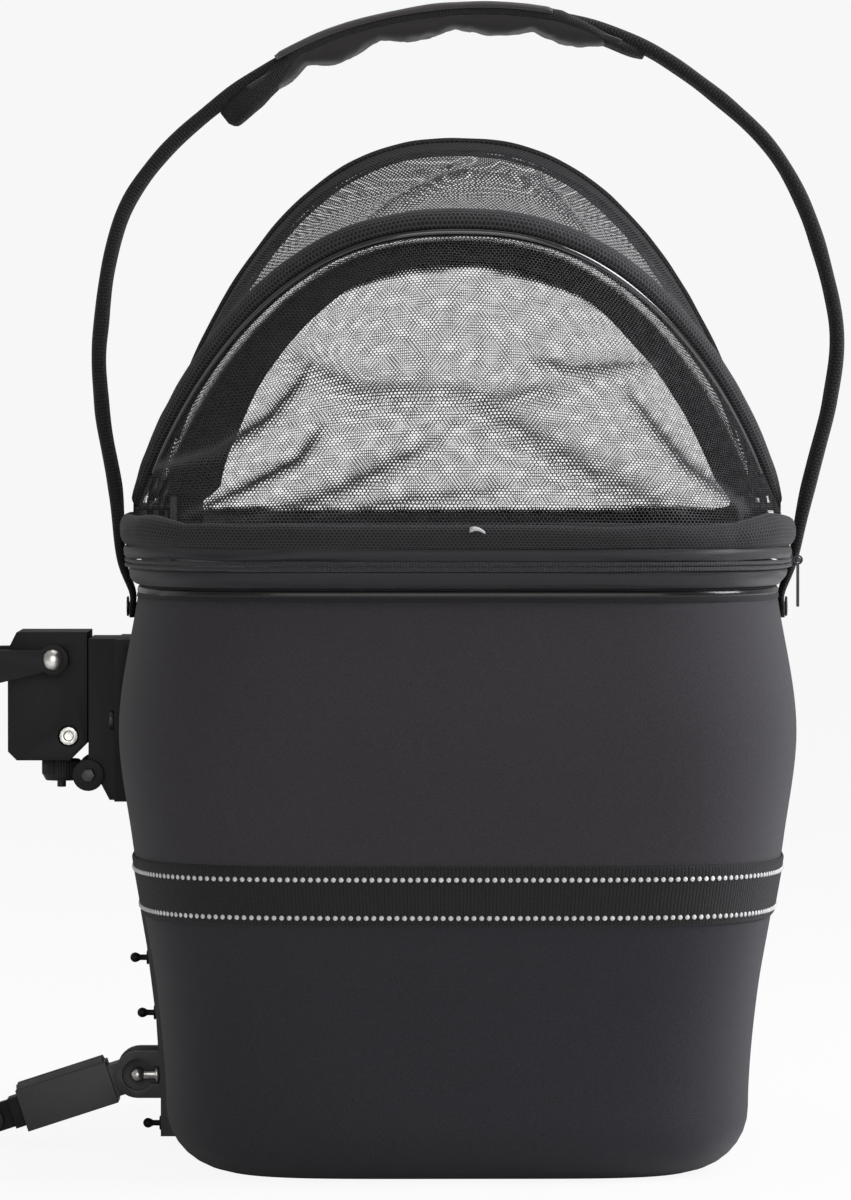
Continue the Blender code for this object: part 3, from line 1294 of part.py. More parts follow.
def lower_plate():
    """Plate down the tub's back with two ears for the support strut."""
    wall_side = []
    for depth, height in facet_outline(LOWER_PLATE_LOW, LOWER_PLATE_HIGH):
        clear = GAP if height > BASE_RADIUS - WELD else GAP * 2
        wall_side.append((-depth - clear, height))
    outside = [(-lower_plate_face(height), height) for _, height in wall_side[::-1]
               if height > BASE_RADIUS - WELD]
    outside.append((-lower_plate_face(BASE_RADIUS), LOWER_PLATE_LOW))
    plate = outline("lower_plate", wall_side + outside, -LOWER_PLATE_WIDTH / 2,
                    LOWER_PLATE_WIDTH / 2)
    pivot = strut_pivot()
    ear_in = SLEEVE_TUBE_WIDTH / 2 + RUNNING_GAP
    ear_out = ear_in + EAR_THICKNESS
    root = -half_depth(STRUT_PIVOT_HEIGHT) - LOWER_PLATE_THICKNESS / 2 - GAP
    for side in (-1, 1):
        start, end = sorted((side * ear_in, side * ear_out))
        join(plate, cylinder("ear", EAR_RADIUS, (pivot.x, start, pivot.z),
                             (pivot.x, end, pivot.z), 32))
        join(plate, box("ear_root", (pivot.x, start, pivot.z - EAR_RADIUS),
                        (root, end, pivot.z + EAR_RADIUS)))
        floor = side * (ear_out - EAR_RECESS_DEPTH)
        mouth = side * (ear_out + OVERRUN)
        cut(plate, cylinder("ear_recess", EAR_RECESS_RADIUS, (pivot.x, floor, pivot.z),
                            (pivot.x, mouth, pivot.z), 24, cutter=True))
        cut(plate, cylinder("ear_hole", STRUT_PIN_RADIUS + GAP, (pivot.x, 0, pivot.z),
                            (pivot.x, mouth, pivot.z), 16, cutter=True))
    slot = BALL_COLLAR_RADIUS + GAP
    cut(plate, box("ball_slot", (pivot.x, -ear_out - OVERRUN, pivot.z - slot),
                   (-lower_plate_face(STRUT_PIVOT_HEIGHT + slot), -ear_out + EAR_RECESS_DEPTH,
                    pivot.z + slot), cutter=True))
    tub = bpy.data.objects["lower_tub"]
    for height in stud_heights():
        hole = stud_cutter(height)
        cut(plate, hole)
        cut(tub, hole)
    dress(plate, PLASTIC, 0.45)

    ball_y = -(ear_out - EAR_RECESS_DEPTH + GAP + BALL_RADIUS)
    reach = -pivot.x - lower_plate_face(STRUT_PIVOT_HEIGHT + slot) - GAP
    neck = math.asin(BALL_SHANK_RADIUS / BALL_RADIUS)
    profile = [(0, reach), (BALL_COLLAR_RADIUS, reach), (BALL_COLLAR_RADIUS, reach - BALL_COLLAR),
               (BALL_SHANK_RADIUS, reach - BALL_COLLAR)]
    for step in range(7):
        turn = neck + (math.pi - neck) * step / 6
        profile.append((BALL_RADIUS * math.sin(turn), BALL_RADIUS * math.cos(turn)))
    profile[-1] = (0, -BALL_RADIUS)
    ball = turned("strut_ball_pin", profile, (pivot.x, ball_y, pivot.z), (1, 0, 0))
    dress(ball, STEEL, 0.2, 1.0)


def stud_cutter(height):
    inside = -tub_half_depth(height) + WALL * 3
    outside = -lower_plate_face(height) - OVERRUN
    return cylinder("stud_hole", STUD_NECK_RADIUS + GAP, (inside, 0, height),
                    (outside, 0, height), 12, cutter=True)


def lower_studs():
    """Ball-headed studs that hold the lower plate, clinched inside the tub."""
    for index, height in enumerate(stud_heights(), 1):
        face = lower_plate_face(height + STUD_COLLAR_RADIUS)
        low = max(height - STUD_COLLAR_RADIUS, WALL)
        inner = tub_half_depth(low) - WALL - GAP * 2
        if height < BASE_RADIUS:
            inner = tub_half_depth(height) - STUD_COLLAR
        base = face + GAP - inner
        head = base + STUD_COLLAR + STUD_REACH
        profile = [(0, head + STUD_HEAD_RADIUS)]
        for angle in (30, 60, 90, 120):
            turn = math.radians(angle)
            profile.append((STUD_HEAD_RADIUS * math.sin(turn),
                            head + STUD_HEAD_RADIUS * math.cos(turn)))
        profile += [(STUD_NECK_RADIUS, head - STUD_HEAD_RADIUS),
                    (STUD_NECK_RADIUS, base + STUD_COLLAR),
                    (STUD_COLLAR_RADIUS, base + STUD_COLLAR), (STUD_COLLAR_RADIUS, base),
                    (STUD_NECK_RADIUS, base)]
        if height < BASE_RADIUS:
            profile += [(STUD_NECK_RADIUS, 0), (0, 0)]
        else:
            profile += [(STUD_NECK_RADIUS, 0), (STUD_COLLAR_RADIUS, 0),
                        (STUD_COLLAR_RADIUS, -STUD_COLLAR), (0, -STUD_COLLAR)]
        stud = turned("lower_stud_%d" % index, profile, (-inner, 0, height), (-1, 0, 0), 12)
        dress(stud, PLASTIC, 0.4)


def strut_matrix():
    """From the strut's own frame, whose X runs out along the strut, to the world."""
    turn = Matrix.Rotation(math.pi - STRUT_TILT, 4, "Y")
    return Matrix.Translation(strut_pivot()) @ turn


def in_strut_frame(target):
    """Place a piece, and the solids that shape it, from the strut's own frame."""
    matrix = strut_matrix()
    for modifier in target.modifiers:
        if modifier.type == "BOOLEAN":
            modifier.object.matrix_world = matrix @ modifier.object.matrix_world
    target.matrix_world = matrix @ target.matrix_world
    return target


def fork_pin_place():
    """Distance of the fork's pin from the strut's pivot, along the strut."""
    return SLEEVE_TUBE_END + ARM_TUBE_OUT + FORK_PIN_REACH


def support_strut():
    """Telescopic strut: pivot pin, outer sleeve, sliding arm and the sleeve's lock screw."""
    half_y = SLEEVE_TUBE_WIDTH / 2
    half_z = SLEEVE_TUBE_HEIGHT / 2
    sleeve = box("strut_sleeve", (SLEEVE_TUBE_START, -half_y, -half_z),
                 (SLEEVE_TUBE_END, half_y, half_z))
    eye_y = half_y - RUNNING_GAP
    join(sleeve, cylinder("sleeve_eye", SLEEVE_EYE_RADIUS, (0, -eye_y, 0), (0, eye_y, 0), 28))
    join(sleeve, box("sleeve_neck", (0, -eye_y, -SLEEVE_EYE_RADIUS * SLEEVE_NECK_SHARE),
                     (SLEEVE_TUBE_START + SLEEVE_FLOOR / 2, eye_y, SLEEVE_EYE_RADIUS * SLEEVE_NECK_SHARE)))
    cut(sleeve, cylinder("sleeve_hole", STRUT_PIN_RADIUS + GAP, (0, -half_y - OVERRUN, 0),
                         (0, half_y + OVERRUN, 0), 16, cutter=True))
    bore_y = half_y - SLEEVE_TUBE_WALL
    bore_z = half_z - SLEEVE_TUBE_WALL
    cut(sleeve, box("sleeve_bore", (SLEEVE_TUBE_START + SLEEVE_FLOOR, -bore_y, -bore_z),
                    (SLEEVE_TUBE_END + OVERRUN, bore_y, bore_z), cutter=True))
    cut(sleeve, cylinder("lock_hole", STRUT_KNOB_SCREW_RADIUS + GAP,
                         (STRUT_KNOB_PLACE, bore_y - OVERRUN, 0),
                         (STRUT_KNOB_PLACE, half_y + OVERRUN, 0), 12, cutter=True))
    dress(sleeve, PLASTIC, 0.45)
    in_strut_frame(sleeve)

    arm_end = SLEEVE_TUBE_END + ARM_TUBE_OUT
    arm = box("strut_arm", (arm_end - ARM_TUBE_LENGTH, GAP - bore_y, GAP - bore_z),
              (arm_end, bore_y - GAP, bore_z - GAP))
    pin = fork_pin_place()
    tongue = FORK_EYE_WIDTH / 2
    join(arm, box("arm_tongue", (arm_end - FORK_EYE_RADIUS / 2, -tongue, -FORK_EYE_RADIUS),
                  (pin, tongue, FORK_EYE_RADIUS)))
    join(arm, cylinder("arm_eye", FORK_EYE_RADIUS, (pin, -tongue, 0), (pin, tongue, 0), 24))
    cut(arm, cylinder("arm_hole", FORK_PIN_RADIUS + GAP, (pin, -tongue - OVERRUN, 0),
                      (pin, tongue + OVERRUN, 0), 16, cutter=True))
    dress(arm, PLASTIC, 0.45)
    in_strut_frame(arm)

    ear_floor = half_y + RUNNING_GAP + EAR_THICKNESS - EAR_RECESS_DEPTH
    pivot = strut_pivot()
    dress(cylinder("strut_pivot_pin", STRUT_PIN_RADIUS, (pivot.x, -ear_floor + GAP, pivot.z),
                   (pivot.x, ear_floor - GAP, pivot.z), 16), DARK_STEEL, 0.3, 0.9)

    profile = [(0, STRUT_KNOB_HEIGHT), (STRUT_KNOB_RADIUS, STRUT_KNOB_HEIGHT),
               (STRUT_KNOB_RADIUS, 0), (STRUT_KNOB_SCREW_RADIUS, 0),
               (STRUT_KNOB_SCREW_RADIUS, -SLEEVE_TUBE_WALL - GAP), (0, -SLEEVE_TUBE_WALL - GAP)]
    knob = turned("strut_lock_knob", profile, (STRUT_KNOB_PLACE, half_y + GAP, 0), (0, 1, 0), 20)
    dress(knob, PLASTIC, 0.5)
    bpy.context.view_layer.update()
    in_strut_frame(knob)


def support_fork():
    """V-shaped fork that rests on the head tube, and the pin that it tilts on."""
    pin = strut_matrix() @ Vector((fork_pin_place(), 0, 0))
    start = FORK_EYE_RADIUS + RUNNING_GAP * 4
    wall = FORK_WALL
    half = FORK_WIDTH / 2
    front = start + wall + FORK_PRONG
    profile = [(start, -half / 2), (start + wall / 2, -half), (front, -half),
               (front, wall - half), (start + wall, 0), (front, half - wall), (front, half),
               (start + wall / 2, half), (start, half / 2)]
    points = [(pin.x - reach, across) for reach, across in profile]
    fork = outline("support_fork", points, pin.z - FORK_HEIGHT / 2, pin.z + FORK_HEIGHT / 2, "Z")
    inner = FORK_EYE_WIDTH / 2 + GAP
    outer = inner + FORK_EAR_THICKNESS
    for side in (-1, 1):
        low, high = sorted((side * inner, side * outer))
        join(fork, cylinder("fork_ear", FORK_EYE_RADIUS, (pin.x, low, pin.z),
                            (pin.x, high, pin.z), 24))
        join(fork, box("fork_ear_root", (pin.x - start - wall / 4, low, pin.z - FORK_EYE_RADIUS),
                       (pin.x, high, pin.z + FORK_EYE_RADIUS)))
    cut(fork, cylinder("fork_hole", FORK_PIN_RADIUS + GAP, (pin.x, -outer - OVERRUN, pin.z),
                       (pin.x, outer + OVERRUN, pin.z), 16, cutter=True))
    dress(fork, PLASTIC, 0.5)
    set_origin(fork, pin)

    head = outer + GAP
    cap = FORK_PIN_RADIUS * FORK_PIN_CAP_SHARE
    profile = [(0, head + GAP * 3), (cap, head + GAP * 3), (cap, head), (FORK_PIN_RADIUS, head),
               (FORK_PIN_RADIUS, -head), (cap, -head), (cap, -head - GAP * 3),
               (0, -head - GAP * 3)]
    dress(turned("fork_pin", profile, pin, (0, -1, 0), 12), DARK_STEEL, 0.3, 0.9)


def leash_height():
    return SPLIT_HEIGHT + LEASH_TAB_HEIGHT * LEASH_HEIGHT_SHARE


def leash_point():
    """Axis of the leash ring, as (X, Z)."""
    height = leash_height()
    return LEASH_STAND_OFF + WALL + GAP - half_depth(height), height


def leash_anchor():
    """Tab on the inside of the back wall with a loop, and the ring that hangs in it."""
    low = SPLIT_HEIGHT + GAP * 2
    high = low + LEASH_TAB_HEIGHT
    wall_low = -half_depth(low) + WALL + GAP
    wall_high = -half_depth(high) + WALL + GAP
    points = [(wall_low, low), (wall_high, high), (wall_high + LEASH_TAB_THICKNESS, high),
              (wall_low + LEASH_TAB_THICKNESS, low)]
    half = LEASH_TAB_WIDTH / 2
    tab = outline("leash_tab", points, -half, half)
    across, height = leash_point()
    foot_low, foot_high = (low + LEASH_TAB_HEIGHT * share for share in LEASH_NECK_SHARES)
    points = [(WALL + GAP * 2 - half_depth(foot_low), foot_low),
              (WALL + GAP * 2 - half_depth(foot_high), foot_high),
              (across, height + LEASH_LOOP_RADIUS * LEASH_ROOT_SHARE),
              (across, height - LEASH_LOOP_RADIUS * LEASH_ROOT_SHARE)]
    loop_half = LEASH_RING_WIDTH / 2 - LEASH_RING_RADIUS * 4
    join(tab, outline("leash_neck", points, -loop_half, loop_half))
    join(tab, cylinder("leash_loop", LEASH_LOOP_RADIUS, (across, -loop_half, height),
                       (across, loop_half, height), 20))
    cut(tab, cylinder("leash_hole", LEASH_RING_RADIUS + RUNNING_GAP,
                      (across, -half - OVERRUN, height), (across, half + OVERRUN, height), 12,
                      cutter=True))
    dress(tab, WEBBING, 0.8)

    side = LEASH_RING_WIDTH / 2
    drop = LEASH_RING_DROP
    bend = LEASH_RING_RADIUS * LEASH_RING_BEND_SHARE
    points = []
    for centre_y, centre_z, first in ((side - bend, -bend, 90), (side - bend, bend - drop, 0),
                                      (bend - side, bend - drop, -90), (bend - side, -bend, -180)):
        for step in range(4):
            turn = math.radians(first - 30 * step)
            points.append(Vector((across, centre_y + bend * math.cos(turn),
                                  height + centre_z + bend * math.sin(turn))))
    ring = tube("leash_ring", points, LEASH_RING_RADIUS, cyclic=True)
    dress(ring, STEEL, 0.25, 1.0)
    set_origin(ring, (across, 0, height))


def clear_scene():
    for obj in list(bpy.data.objects):
        bpy.data.objects.remove(obj)
    for name in (COLLECTION, COLLECTION + "_cutters"):
        collection = bpy.data.collections.new(name)
        bpy.context.scene.collection.children.link(collection)


def build():
    clear_scene()
    lower_tub()
    upper_wall()
    reflective_band()
    rim_stack()
    floor_pieces()
    hoops()
    hoop_brackets()
    roof_cloth()
    carry_strap()
    strap_rivets()
    grip_sleeve()
    zip_slider()
    hook_plate()
    hook_fasteners()
    adapter_body()
    lock_knob()
    bar_clamps()
    lower_plate()
    lower_studs()
    support_strut()
    support_fork()
    leash_anchor()


build()
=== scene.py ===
"""Looks of a dog bicycle basket: moulded cloth-covered shells, a zipped mesh roof on hoops,
a padded carry strap and the black handlebar bracket. Metres, +Z up, +X forward on the bicycle.
"""

import math

import bmesh
import bpy
import numpy as np
from mathutils import Matrix, Vector, noise


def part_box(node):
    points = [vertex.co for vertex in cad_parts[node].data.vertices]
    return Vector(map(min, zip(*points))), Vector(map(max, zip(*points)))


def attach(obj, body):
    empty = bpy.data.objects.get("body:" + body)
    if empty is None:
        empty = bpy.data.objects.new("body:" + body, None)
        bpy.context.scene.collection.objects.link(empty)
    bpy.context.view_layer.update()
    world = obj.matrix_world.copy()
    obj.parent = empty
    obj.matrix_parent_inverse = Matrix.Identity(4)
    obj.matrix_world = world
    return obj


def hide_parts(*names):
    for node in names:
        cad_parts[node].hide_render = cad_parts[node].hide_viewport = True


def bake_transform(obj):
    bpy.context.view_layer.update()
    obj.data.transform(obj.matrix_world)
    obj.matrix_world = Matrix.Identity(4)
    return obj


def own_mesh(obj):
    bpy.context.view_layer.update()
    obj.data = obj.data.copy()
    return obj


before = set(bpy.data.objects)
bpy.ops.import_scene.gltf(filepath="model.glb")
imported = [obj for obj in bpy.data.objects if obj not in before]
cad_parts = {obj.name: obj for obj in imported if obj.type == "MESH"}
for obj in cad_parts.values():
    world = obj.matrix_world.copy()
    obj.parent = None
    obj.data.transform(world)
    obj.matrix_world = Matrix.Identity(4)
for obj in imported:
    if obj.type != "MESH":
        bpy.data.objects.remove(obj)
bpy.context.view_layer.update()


# The studio: a camera level with the roof, far off, with a long lens, as the photograph was
# taken, a pale floor and backdrop, and soft lights at the front and behind both sides.
EYE = Vector((-0.0143, -3.5, 0.338))
TILT_DOWN = math.radians(1.485)
FRAME_HEIGHT_MM = 36.0
LENS_MM = 231.5
LAMP_TARGET = Vector((0, 0, 0.25))
LAMPS = (
    ("front_softbox", (0.2, -2.9, 0.6), 2.4, 37.0, (1.0, 0.99, 0.98)),
    ("top_softbox", (0.3, 0.1, 2.2), 1.6, 10.0, (1.0, 1.0, 1.0)),
    ("right_strip", (1.9, -0.15, 1.4), 1.2, 66.0, (0.92, 0.94, 1.0)),
    ("left_strip", (-1.9, 0.45, 0.5), 1.3, 2.0, (1.0, 0.99, 0.98)),
)
BACKDROP = (0.93, 0.93, 0.935)
ROOM_STRENGTH = 0.34
FLOOR_REACH = 60.0
FLOOR_MATT = (0.8, 0.8, 0.8)
FLOOR_GLOW = (0.980, 0.980, 0.985)
FLOOR_GLOW_SHARE = 0.93


def in_scene(name, data):
    """A new object in the scene, made from its data."""
    thing = bpy.data.objects.new(name, data)
    bpy.context.scene.collection.objects.link(thing)
    return thing


def add_node(tree, kind, values=(), **settings):
    """A node with its settings, and the inputs in values set or linked to sockets."""
    node = tree.nodes.new(kind)
    for name, setting in settings.items():
        setattr(node, name, setting)
    for key, value in dict(values).items():
        if hasattr(value, "links"):
            tree.links.new(value, node.inputs[key])
        else:
            node.inputs[key].default_value = value
    return node


def math_node(tree, operation, *values):
    """A Math node whose inputs are sockets or numbers. Returns its output."""
    return add_node(tree, "ShaderNodeMath", enumerate(values), operation=operation).outputs[0]


def seen_directly(tree):
    """1 for rays from the camera, and 0 for rays that light things."""
    return add_node(tree, "ShaderNodeLightPath").outputs["Is Camera Ray"]


def mixed(tree, share, first, second, output):
    """The tree's whole surface: two shaders mixed by a share."""
    blend = add_node(tree, "ShaderNodeMixShader",
                     {"Fac": share, 1: first.outputs[0], 2: second.outputs[0]})
    add_node(tree, output, {"Surface": blend.outputs[0]})


camera_data = bpy.data.cameras.new("camera")
camera_data.sensor_fit = "VERTICAL"
camera_data.sensor_height = FRAME_HEIGHT_MM
camera_data.lens = LENS_MM
camera = in_scene("camera", camera_data)
camera.location = EYE
camera.rotation_euler = (math.pi / 2 - TILT_DOWN, 0, 0)
bpy.context.scene.camera = camera
bpy.context.scene.view_settings.view_transform = "Standard"

for lamp_name, place, size, power, tint in LAMPS:
    lamp_data = bpy.data.lights.new(lamp_name, "AREA")
    lamp_data.size = size
    lamp_data.energy = power
    lamp_data.color = tint
    lamp = in_scene(lamp_name, lamp_data)
    lamp.location = place
    lamp.rotation_euler = (LAMP_TARGET - Vector(place)).to_track_quat("-Z", "Y").to_euler()

world = bpy.data.worlds.new("studio")
bpy.context.scene.world = world
world.use_nodes = True
tree = world.node_tree
tree.nodes.clear()
mixed(tree, seen_directly(tree),
      add_node(tree, "ShaderNodeBackground", {"Color": (1, 1, 1, 1), "Strength": ROOM_STRENGTH}),
      add_node(tree, "ShaderNodeBackground", {"Color": (*BACKDROP, 1)}), "ShaderNodeOutputWorld")

floor_mesh = bpy.data.meshes.new("floor")
floor_mesh.from_pydata([(x * FLOOR_REACH, y * FLOOR_REACH, 0)
                        for x, y in ((-1, -1), (1, -1), (1, 1), (-1, 1))], [], [(0, 1, 2, 3)])
floor = in_scene("floor", floor_mesh)
floor_material = bpy.data.materials.new("pale_floor")
floor_material.use_nodes = True
tree = floor_material.node_tree
tree.nodes.clear()
mixed(tree, math_node(tree, "MULTIPLY", seen_directly(tree), FLOOR_GLOW_SHARE),
      add_node(tree, "ShaderNodeBsdfDiffuse", {"Color": (*FLOOR_MATT, 1)}),
      add_node(tree, "ShaderNodeEmission", {"Color": (*FLOOR_GLOW, 1)}), "ShaderNodeOutputMaterial")
floor.data.materials.append(floor_material)


# Shells: a tub and a barrel-shaped upper wall, both pressed from foam with a heathered matt
# cloth laminated on it. The tub has a flat base with a rolled edge, and both are open at the top.
# Their plan is a rounded rectangle whose sides swell gently.
SHELL_STEPS = 160
SHELL_RINGS = 30
CORNER_RINGS = 8
PLAN_POWER = 5.0
SHELL_WALL = 0.004
BASE_RADIUS = 0.026
PROFILE_SHARES = (
    (0.0, 0.864), (0.139, 0.864), (0.31, 0.890), (0.445, 0.927),
    (0.577, 0.963), (0.775, 1.0), (1.0, 0.945),
)
UPPER_CLOTH = (0.0290, 0.0262, 0.0300)
LOWER_CLOTH = (0.0190, 0.0185, 0.0225)
SHELL_CONTRAST = 1.6
HEATHER_GRAIN = 1500.0
HEATHER_DEPTH = 0.00025
SHELL_UNEVEN = 0.0006
UNEVEN_SCALE = 11.0

wall_low, wall_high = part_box("upper_wall")
_, tub_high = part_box("lower_tub")
RIM_HEIGHT = wall_high.z
BODY_HALF_DEPTH = wall_high.x
SIDE_EXTRA = wall_high.y - wall_high.x


def smooth_value(table, place):
    """Read a table of (place, value) pairs along a smooth curve through its points."""
    last = len(table) - 1
    index = 0
    while index < last - 1 and place > table[index + 1][0]:
        index += 1
    x0, y0 = table[index]
    x1, y1 = table[index + 1]
    before = table[max(index - 1, 0)]
    after = table[min(index + 2, last)]
    span = x1 - x0
    slope0 = (y1 - before[1]) / (x1 - before[0])
    slope1 = (after[1] - y0) / (after[0] - x0)
    t = min(max((place - x0) / span, 0.0), 1.0)
    return ((2 * t ** 3 - 3 * t ** 2 + 1) * y0 + (t ** 3 - 2 * t ** 2 + t) * span * slope0
            + (3 * t ** 2 - 2 * t ** 3) * y1 + (t ** 3 - t ** 2) * span * slope1)


def half_depth(height):
    return smooth_value(PROFILE_SHARES, height / RIM_HEIGHT) * BODY_HALF_DEPTH


def signed_power(value, power):
    """A power of a number's size that keeps its sign."""
    return math.copysign(abs(value) ** power, value)


def plan_point(depth, turn, height, side_extra=SIDE_EXTRA):
    """A point of the rounded rectangle whose half depth is along X, at a turn from +X."""
    return Vector((depth * signed_power(math.cos(turn), 2 / PLAN_POWER),
                   (depth + side_extra) * signed_power(math.sin(turn), 2 / PLAN_POWER), height))


def run_lengths(points, closed=False):
    """Distances along a run of points, the closing one too where it is a ring."""
    following = points[1:] + points[:1] if closed else points[1:]
    lengths = [0.0]
    for start, end in zip(points, following):
        lengths.append(lengths[-1] + (Vector(end) - Vector(start)).length)
    return lengths


def even_places(points, count):
    """Where even distances along a run fall, ends included: point before, and share past it."""
    lengths = run_lengths(points)
    places = []
    index = 0
    for step in range(count + 1):
        wanted = lengths[-1] * step / count
        while index < len(lengths) - 2 and lengths[index + 1] < wanted:
            index += 1
        places.append((index, (wanted - lengths[index]) / (lengths[index + 1] - lengths[index])))
    return places


def even_turns(steps):
    """Turns whose plan points lie evenly along the outline, so that corners stay round."""
    fine = 4000
    outline = [plan_point(BODY_HALF_DEPTH, math.tau * step / fine, 0) for step in range(fine + 1)]
    return [math.tau * (index + left) / fine for index, left in even_places(outline, steps)[:-1]]


TURNS = even_turns(SHELL_STEPS)


def ring_turns(steps):
    return [math.tau * step / steps for step in range(steps)]


def dressed(piece, body, node=""):
    """Say which body a piece rides on and the CAD piece it stands for."""
    if body:
        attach(piece, body)
    if node:
        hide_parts(node)
    return piece


def mesh_piece(name, points, faces, material, places=(), outward=True, smooth=True):
    """A piece from points and faces, with a UV map if the corners' places are given."""
    mesh = bpy.data.meshes.new(name)
    mesh.from_pydata([tuple(point) for point in points], [], faces)
    if places:
        layer = mesh.uv_layers.new(name="UVMap")
        layer.data.foreach_set("uv", [number for place in places for number in place])
    if outward:
        shape = bmesh.new()
        shape.from_mesh(mesh)
        bmesh.ops.recalc_face_normals(shape, faces=shape.faces)
        shape.to_mesh(mesh)
        shape.free()
    if smooth:
        mesh.shade_smooth()
    mesh.materials.append(material)
    return in_scene(name, mesh)


def ring_faces(count, rings, closed_rows=False):
    """Faces of rings of equally many points, joined one to the next."""
    faces = []
    for row in range(rings if closed_rows else rings - 1):
        base = row * count
        above = ((row + 1) % rings) * count
        for column in range(count):
            after = (column + 1) % count
            faces.append((base + column, base + after, above + after, above + column))
    return faces


def closed_shape(rows, low_middle, high_middle):
    """Points and faces of rings joined in a row, each end closed by a fan to its middle."""
    count = len(rows[0])
    points = [point for row in rows for point in row] + [low_middle, high_middle]
    faces = ring_faces(count, len(rows))
    last = (len(rows) - 1) * count
    for column in range(count):
        after = (column + 1) % count
        faces.append((after, column, len(points) - 2))
        faces.append((last + column, last + after, len(points) - 1))
    return points, faces


def shader_group(name, inputs, outputs):
    """An empty shader group: its tree, its given sockets and its result's inputs."""
    group = bpy.data.node_groups.new(name, "ShaderNodeTree")
    sockets = [("Vector", None), ("Color", (0.03, 0.03, 0.03, 1)), *inputs]
    for socket_name, value in sockets:
        kind = {"Vector": "Vector", "Color": "Color"}.get(socket_name, "Float")
        socket = group.interface.new_socket(socket_name, in_out="INPUT",
                                            socket_type="NodeSocket" + kind)
        if value is not None:
            socket.default_value = value
    for socket_name in outputs:
        kind = "Color" if socket_name == "Color" else "Float"
        group.interface.new_socket(socket_name, in_out="OUTPUT", socket_type="NodeSocket" + kind)
    return group, group.nodes.new("NodeGroupInput").outputs


def noise_node(tree, vector, scale, detail=2.0, roughness=0.5):
    return add_node(tree, "ShaderNodeTexNoise", {
        "Detail": detail, "Roughness": roughness, "Vector": vector, "Scale": scale}).outputs["Fac"]


def float_range(tree, value, from_low, from_high, low, high):
    return add_node(tree, "ShaderNodeMapRange", {
        "Value": value, "From Min": from_low, "From Max": from_high, "To Min": low,
        "To Max": high}).outputs["Result"]


def shaded(tree, colour, value):
    """A colour multiplied by a value that changes over the surface."""
    return add_node(tree, "ShaderNodeVectorMath", {0: colour, "Scale": value},
                    operation="SCALE").outputs[0]


def heather_effect():
    """Felted cloth: fine light and dark fibres, soft blotches, and a fine rough relief."""
    group, given = shader_group("heathered_cloth", (("Grain", 1500.0), ("Contrast", 0.5)),
                                ("Color", "Height"))
    fibres = noise_node(group, given["Vector"], given["Grain"], 4.0, 0.7)
    blotches = noise_node(group, given["Vector"], 14.0, 3.0)
    fine = math_node(group, "MULTIPLY_ADD", fibres, given["Contrast"], 1.0)
    fine = math_node(group, "MULTIPLY_ADD", given["Contrast"], -0.5, fine)
    light = math_node(group, "MULTIPLY", fine, float_range(group, blotches, 0.3, 0.7, 0.95, 1.05))
    add_node(group, "NodeGroupOutput",
             {"Color": shaded(group, given["Color"], light), "Height": fibres})
    return group


HEATHER = heather_effect()


def new_material(name, colour, roughness, metallic=0.0, sheen=0.0, coat=0.0, shine=0.5):
    """A material with its shader, ready for what changes over the surface."""
    material = bpy.data.materials.new(name)
    material.use_nodes = True
    shader = material.node_tree.nodes["Principled BSDF"]
    for socket, value in (("Base Color", (*colour, 1)), ("Roughness", roughness),
                          ("Metallic", metallic), ("Sheen Weight", sheen),
                          ("Sheen Roughness", 0.5), ("Coat Weight", coat),
                          ("Specular IOR Level", shine)):
        shader.inputs[socket].default_value = value
    material.diffuse_color = (*colour, 1)
    return material, material.node_tree, shader


def add_effect(tree, shader, effect, coordinates, depth, strength, **values):
    """Put an effect's group in a material: its inputs by name, its colour and its relief."""
    vector = add_node(tree, "ShaderNodeTexCoord").outputs[coordinates]
    inputs = {name.replace("_", " "): value for name, value in values.items()}
    node = add_node(tree, "ShaderNodeGroup", {"Vector": vector, **inputs}, node_tree=effect)
    tree.links.new(node.outputs["Color"], shader.inputs["Base Color"])
    relief = add_node(tree, "ShaderNodeBump", {"Distance": depth, "Strength": strength,
                                               "Height": node.outputs["Height"]})
    tree.links.new(relief.outputs["Normal"], shader.inputs["Normal"])
    return node.outputs


def heathered(name, colour, contrast=0.9, roughness=0.9, sheen=0.08, grain=HEATHER_GRAIN):
    material, tree, shader = new_material(name, colour, roughness, sheen=sheen, shine=0.25)
    add_effect(tree, shader, HEATHER, "Object", HEATHER_DEPTH, 0.7, Color=(*colour, 1),
               Grain=grain, Contrast=contrast)
    return material


def uneven(point):
    """How far hand-laid cloth stands proud at a point, from broad smooth noise."""
    return SHELL_UNEVEN * noise.noise(Vector(point) * UNEVEN_SCALE)


def shell_row(depth, height):
    """A ring of a shell at a half depth and height, softly uneven."""
    return [plan_point(depth + uneven(plan_point(depth, turn, height)), turn, height)
            for turn in TURNS]


outer_rows = []
inner_rows = []
foot_depth = half_depth(BASE_RADIUS)
inner_radius = BASE_RADIUS - SHELL_WALL
for step in range(CORNER_RINGS + 1):
    turn = math.pi / 2 * step / CORNER_RINGS
    outer_rows.append((foot_depth - BASE_RADIUS * (1 - math.sin(turn)),
                       BASE_RADIUS * (1 - math.cos(turn))))
    inner_rows.append((foot_depth - SHELL_WALL - inner_radius * (1 - math.sin(turn)),
                       SHELL_WALL + inner_radius * (1 - math.cos(turn))))
for step in range(1, SHELL_RINGS + 1):
    height = BASE_RADIUS + (tub_high.z - BASE_RADIUS) * step / SHELL_RINGS
    outer_rows.append((half_depth(height), height))
    inner_rows.append((half_depth(height) - SHELL_WALL, height))
points, faces = closed_shape([shell_row(*row) for row in outer_rows + inner_rows[::-1]],
                             Vector((0, 0, 0)), Vector((0, 0, SHELL_WALL)))
lower_cloth = heathered("lower_shell_cloth", LOWER_CLOTH, SHELL_CONTRAST)
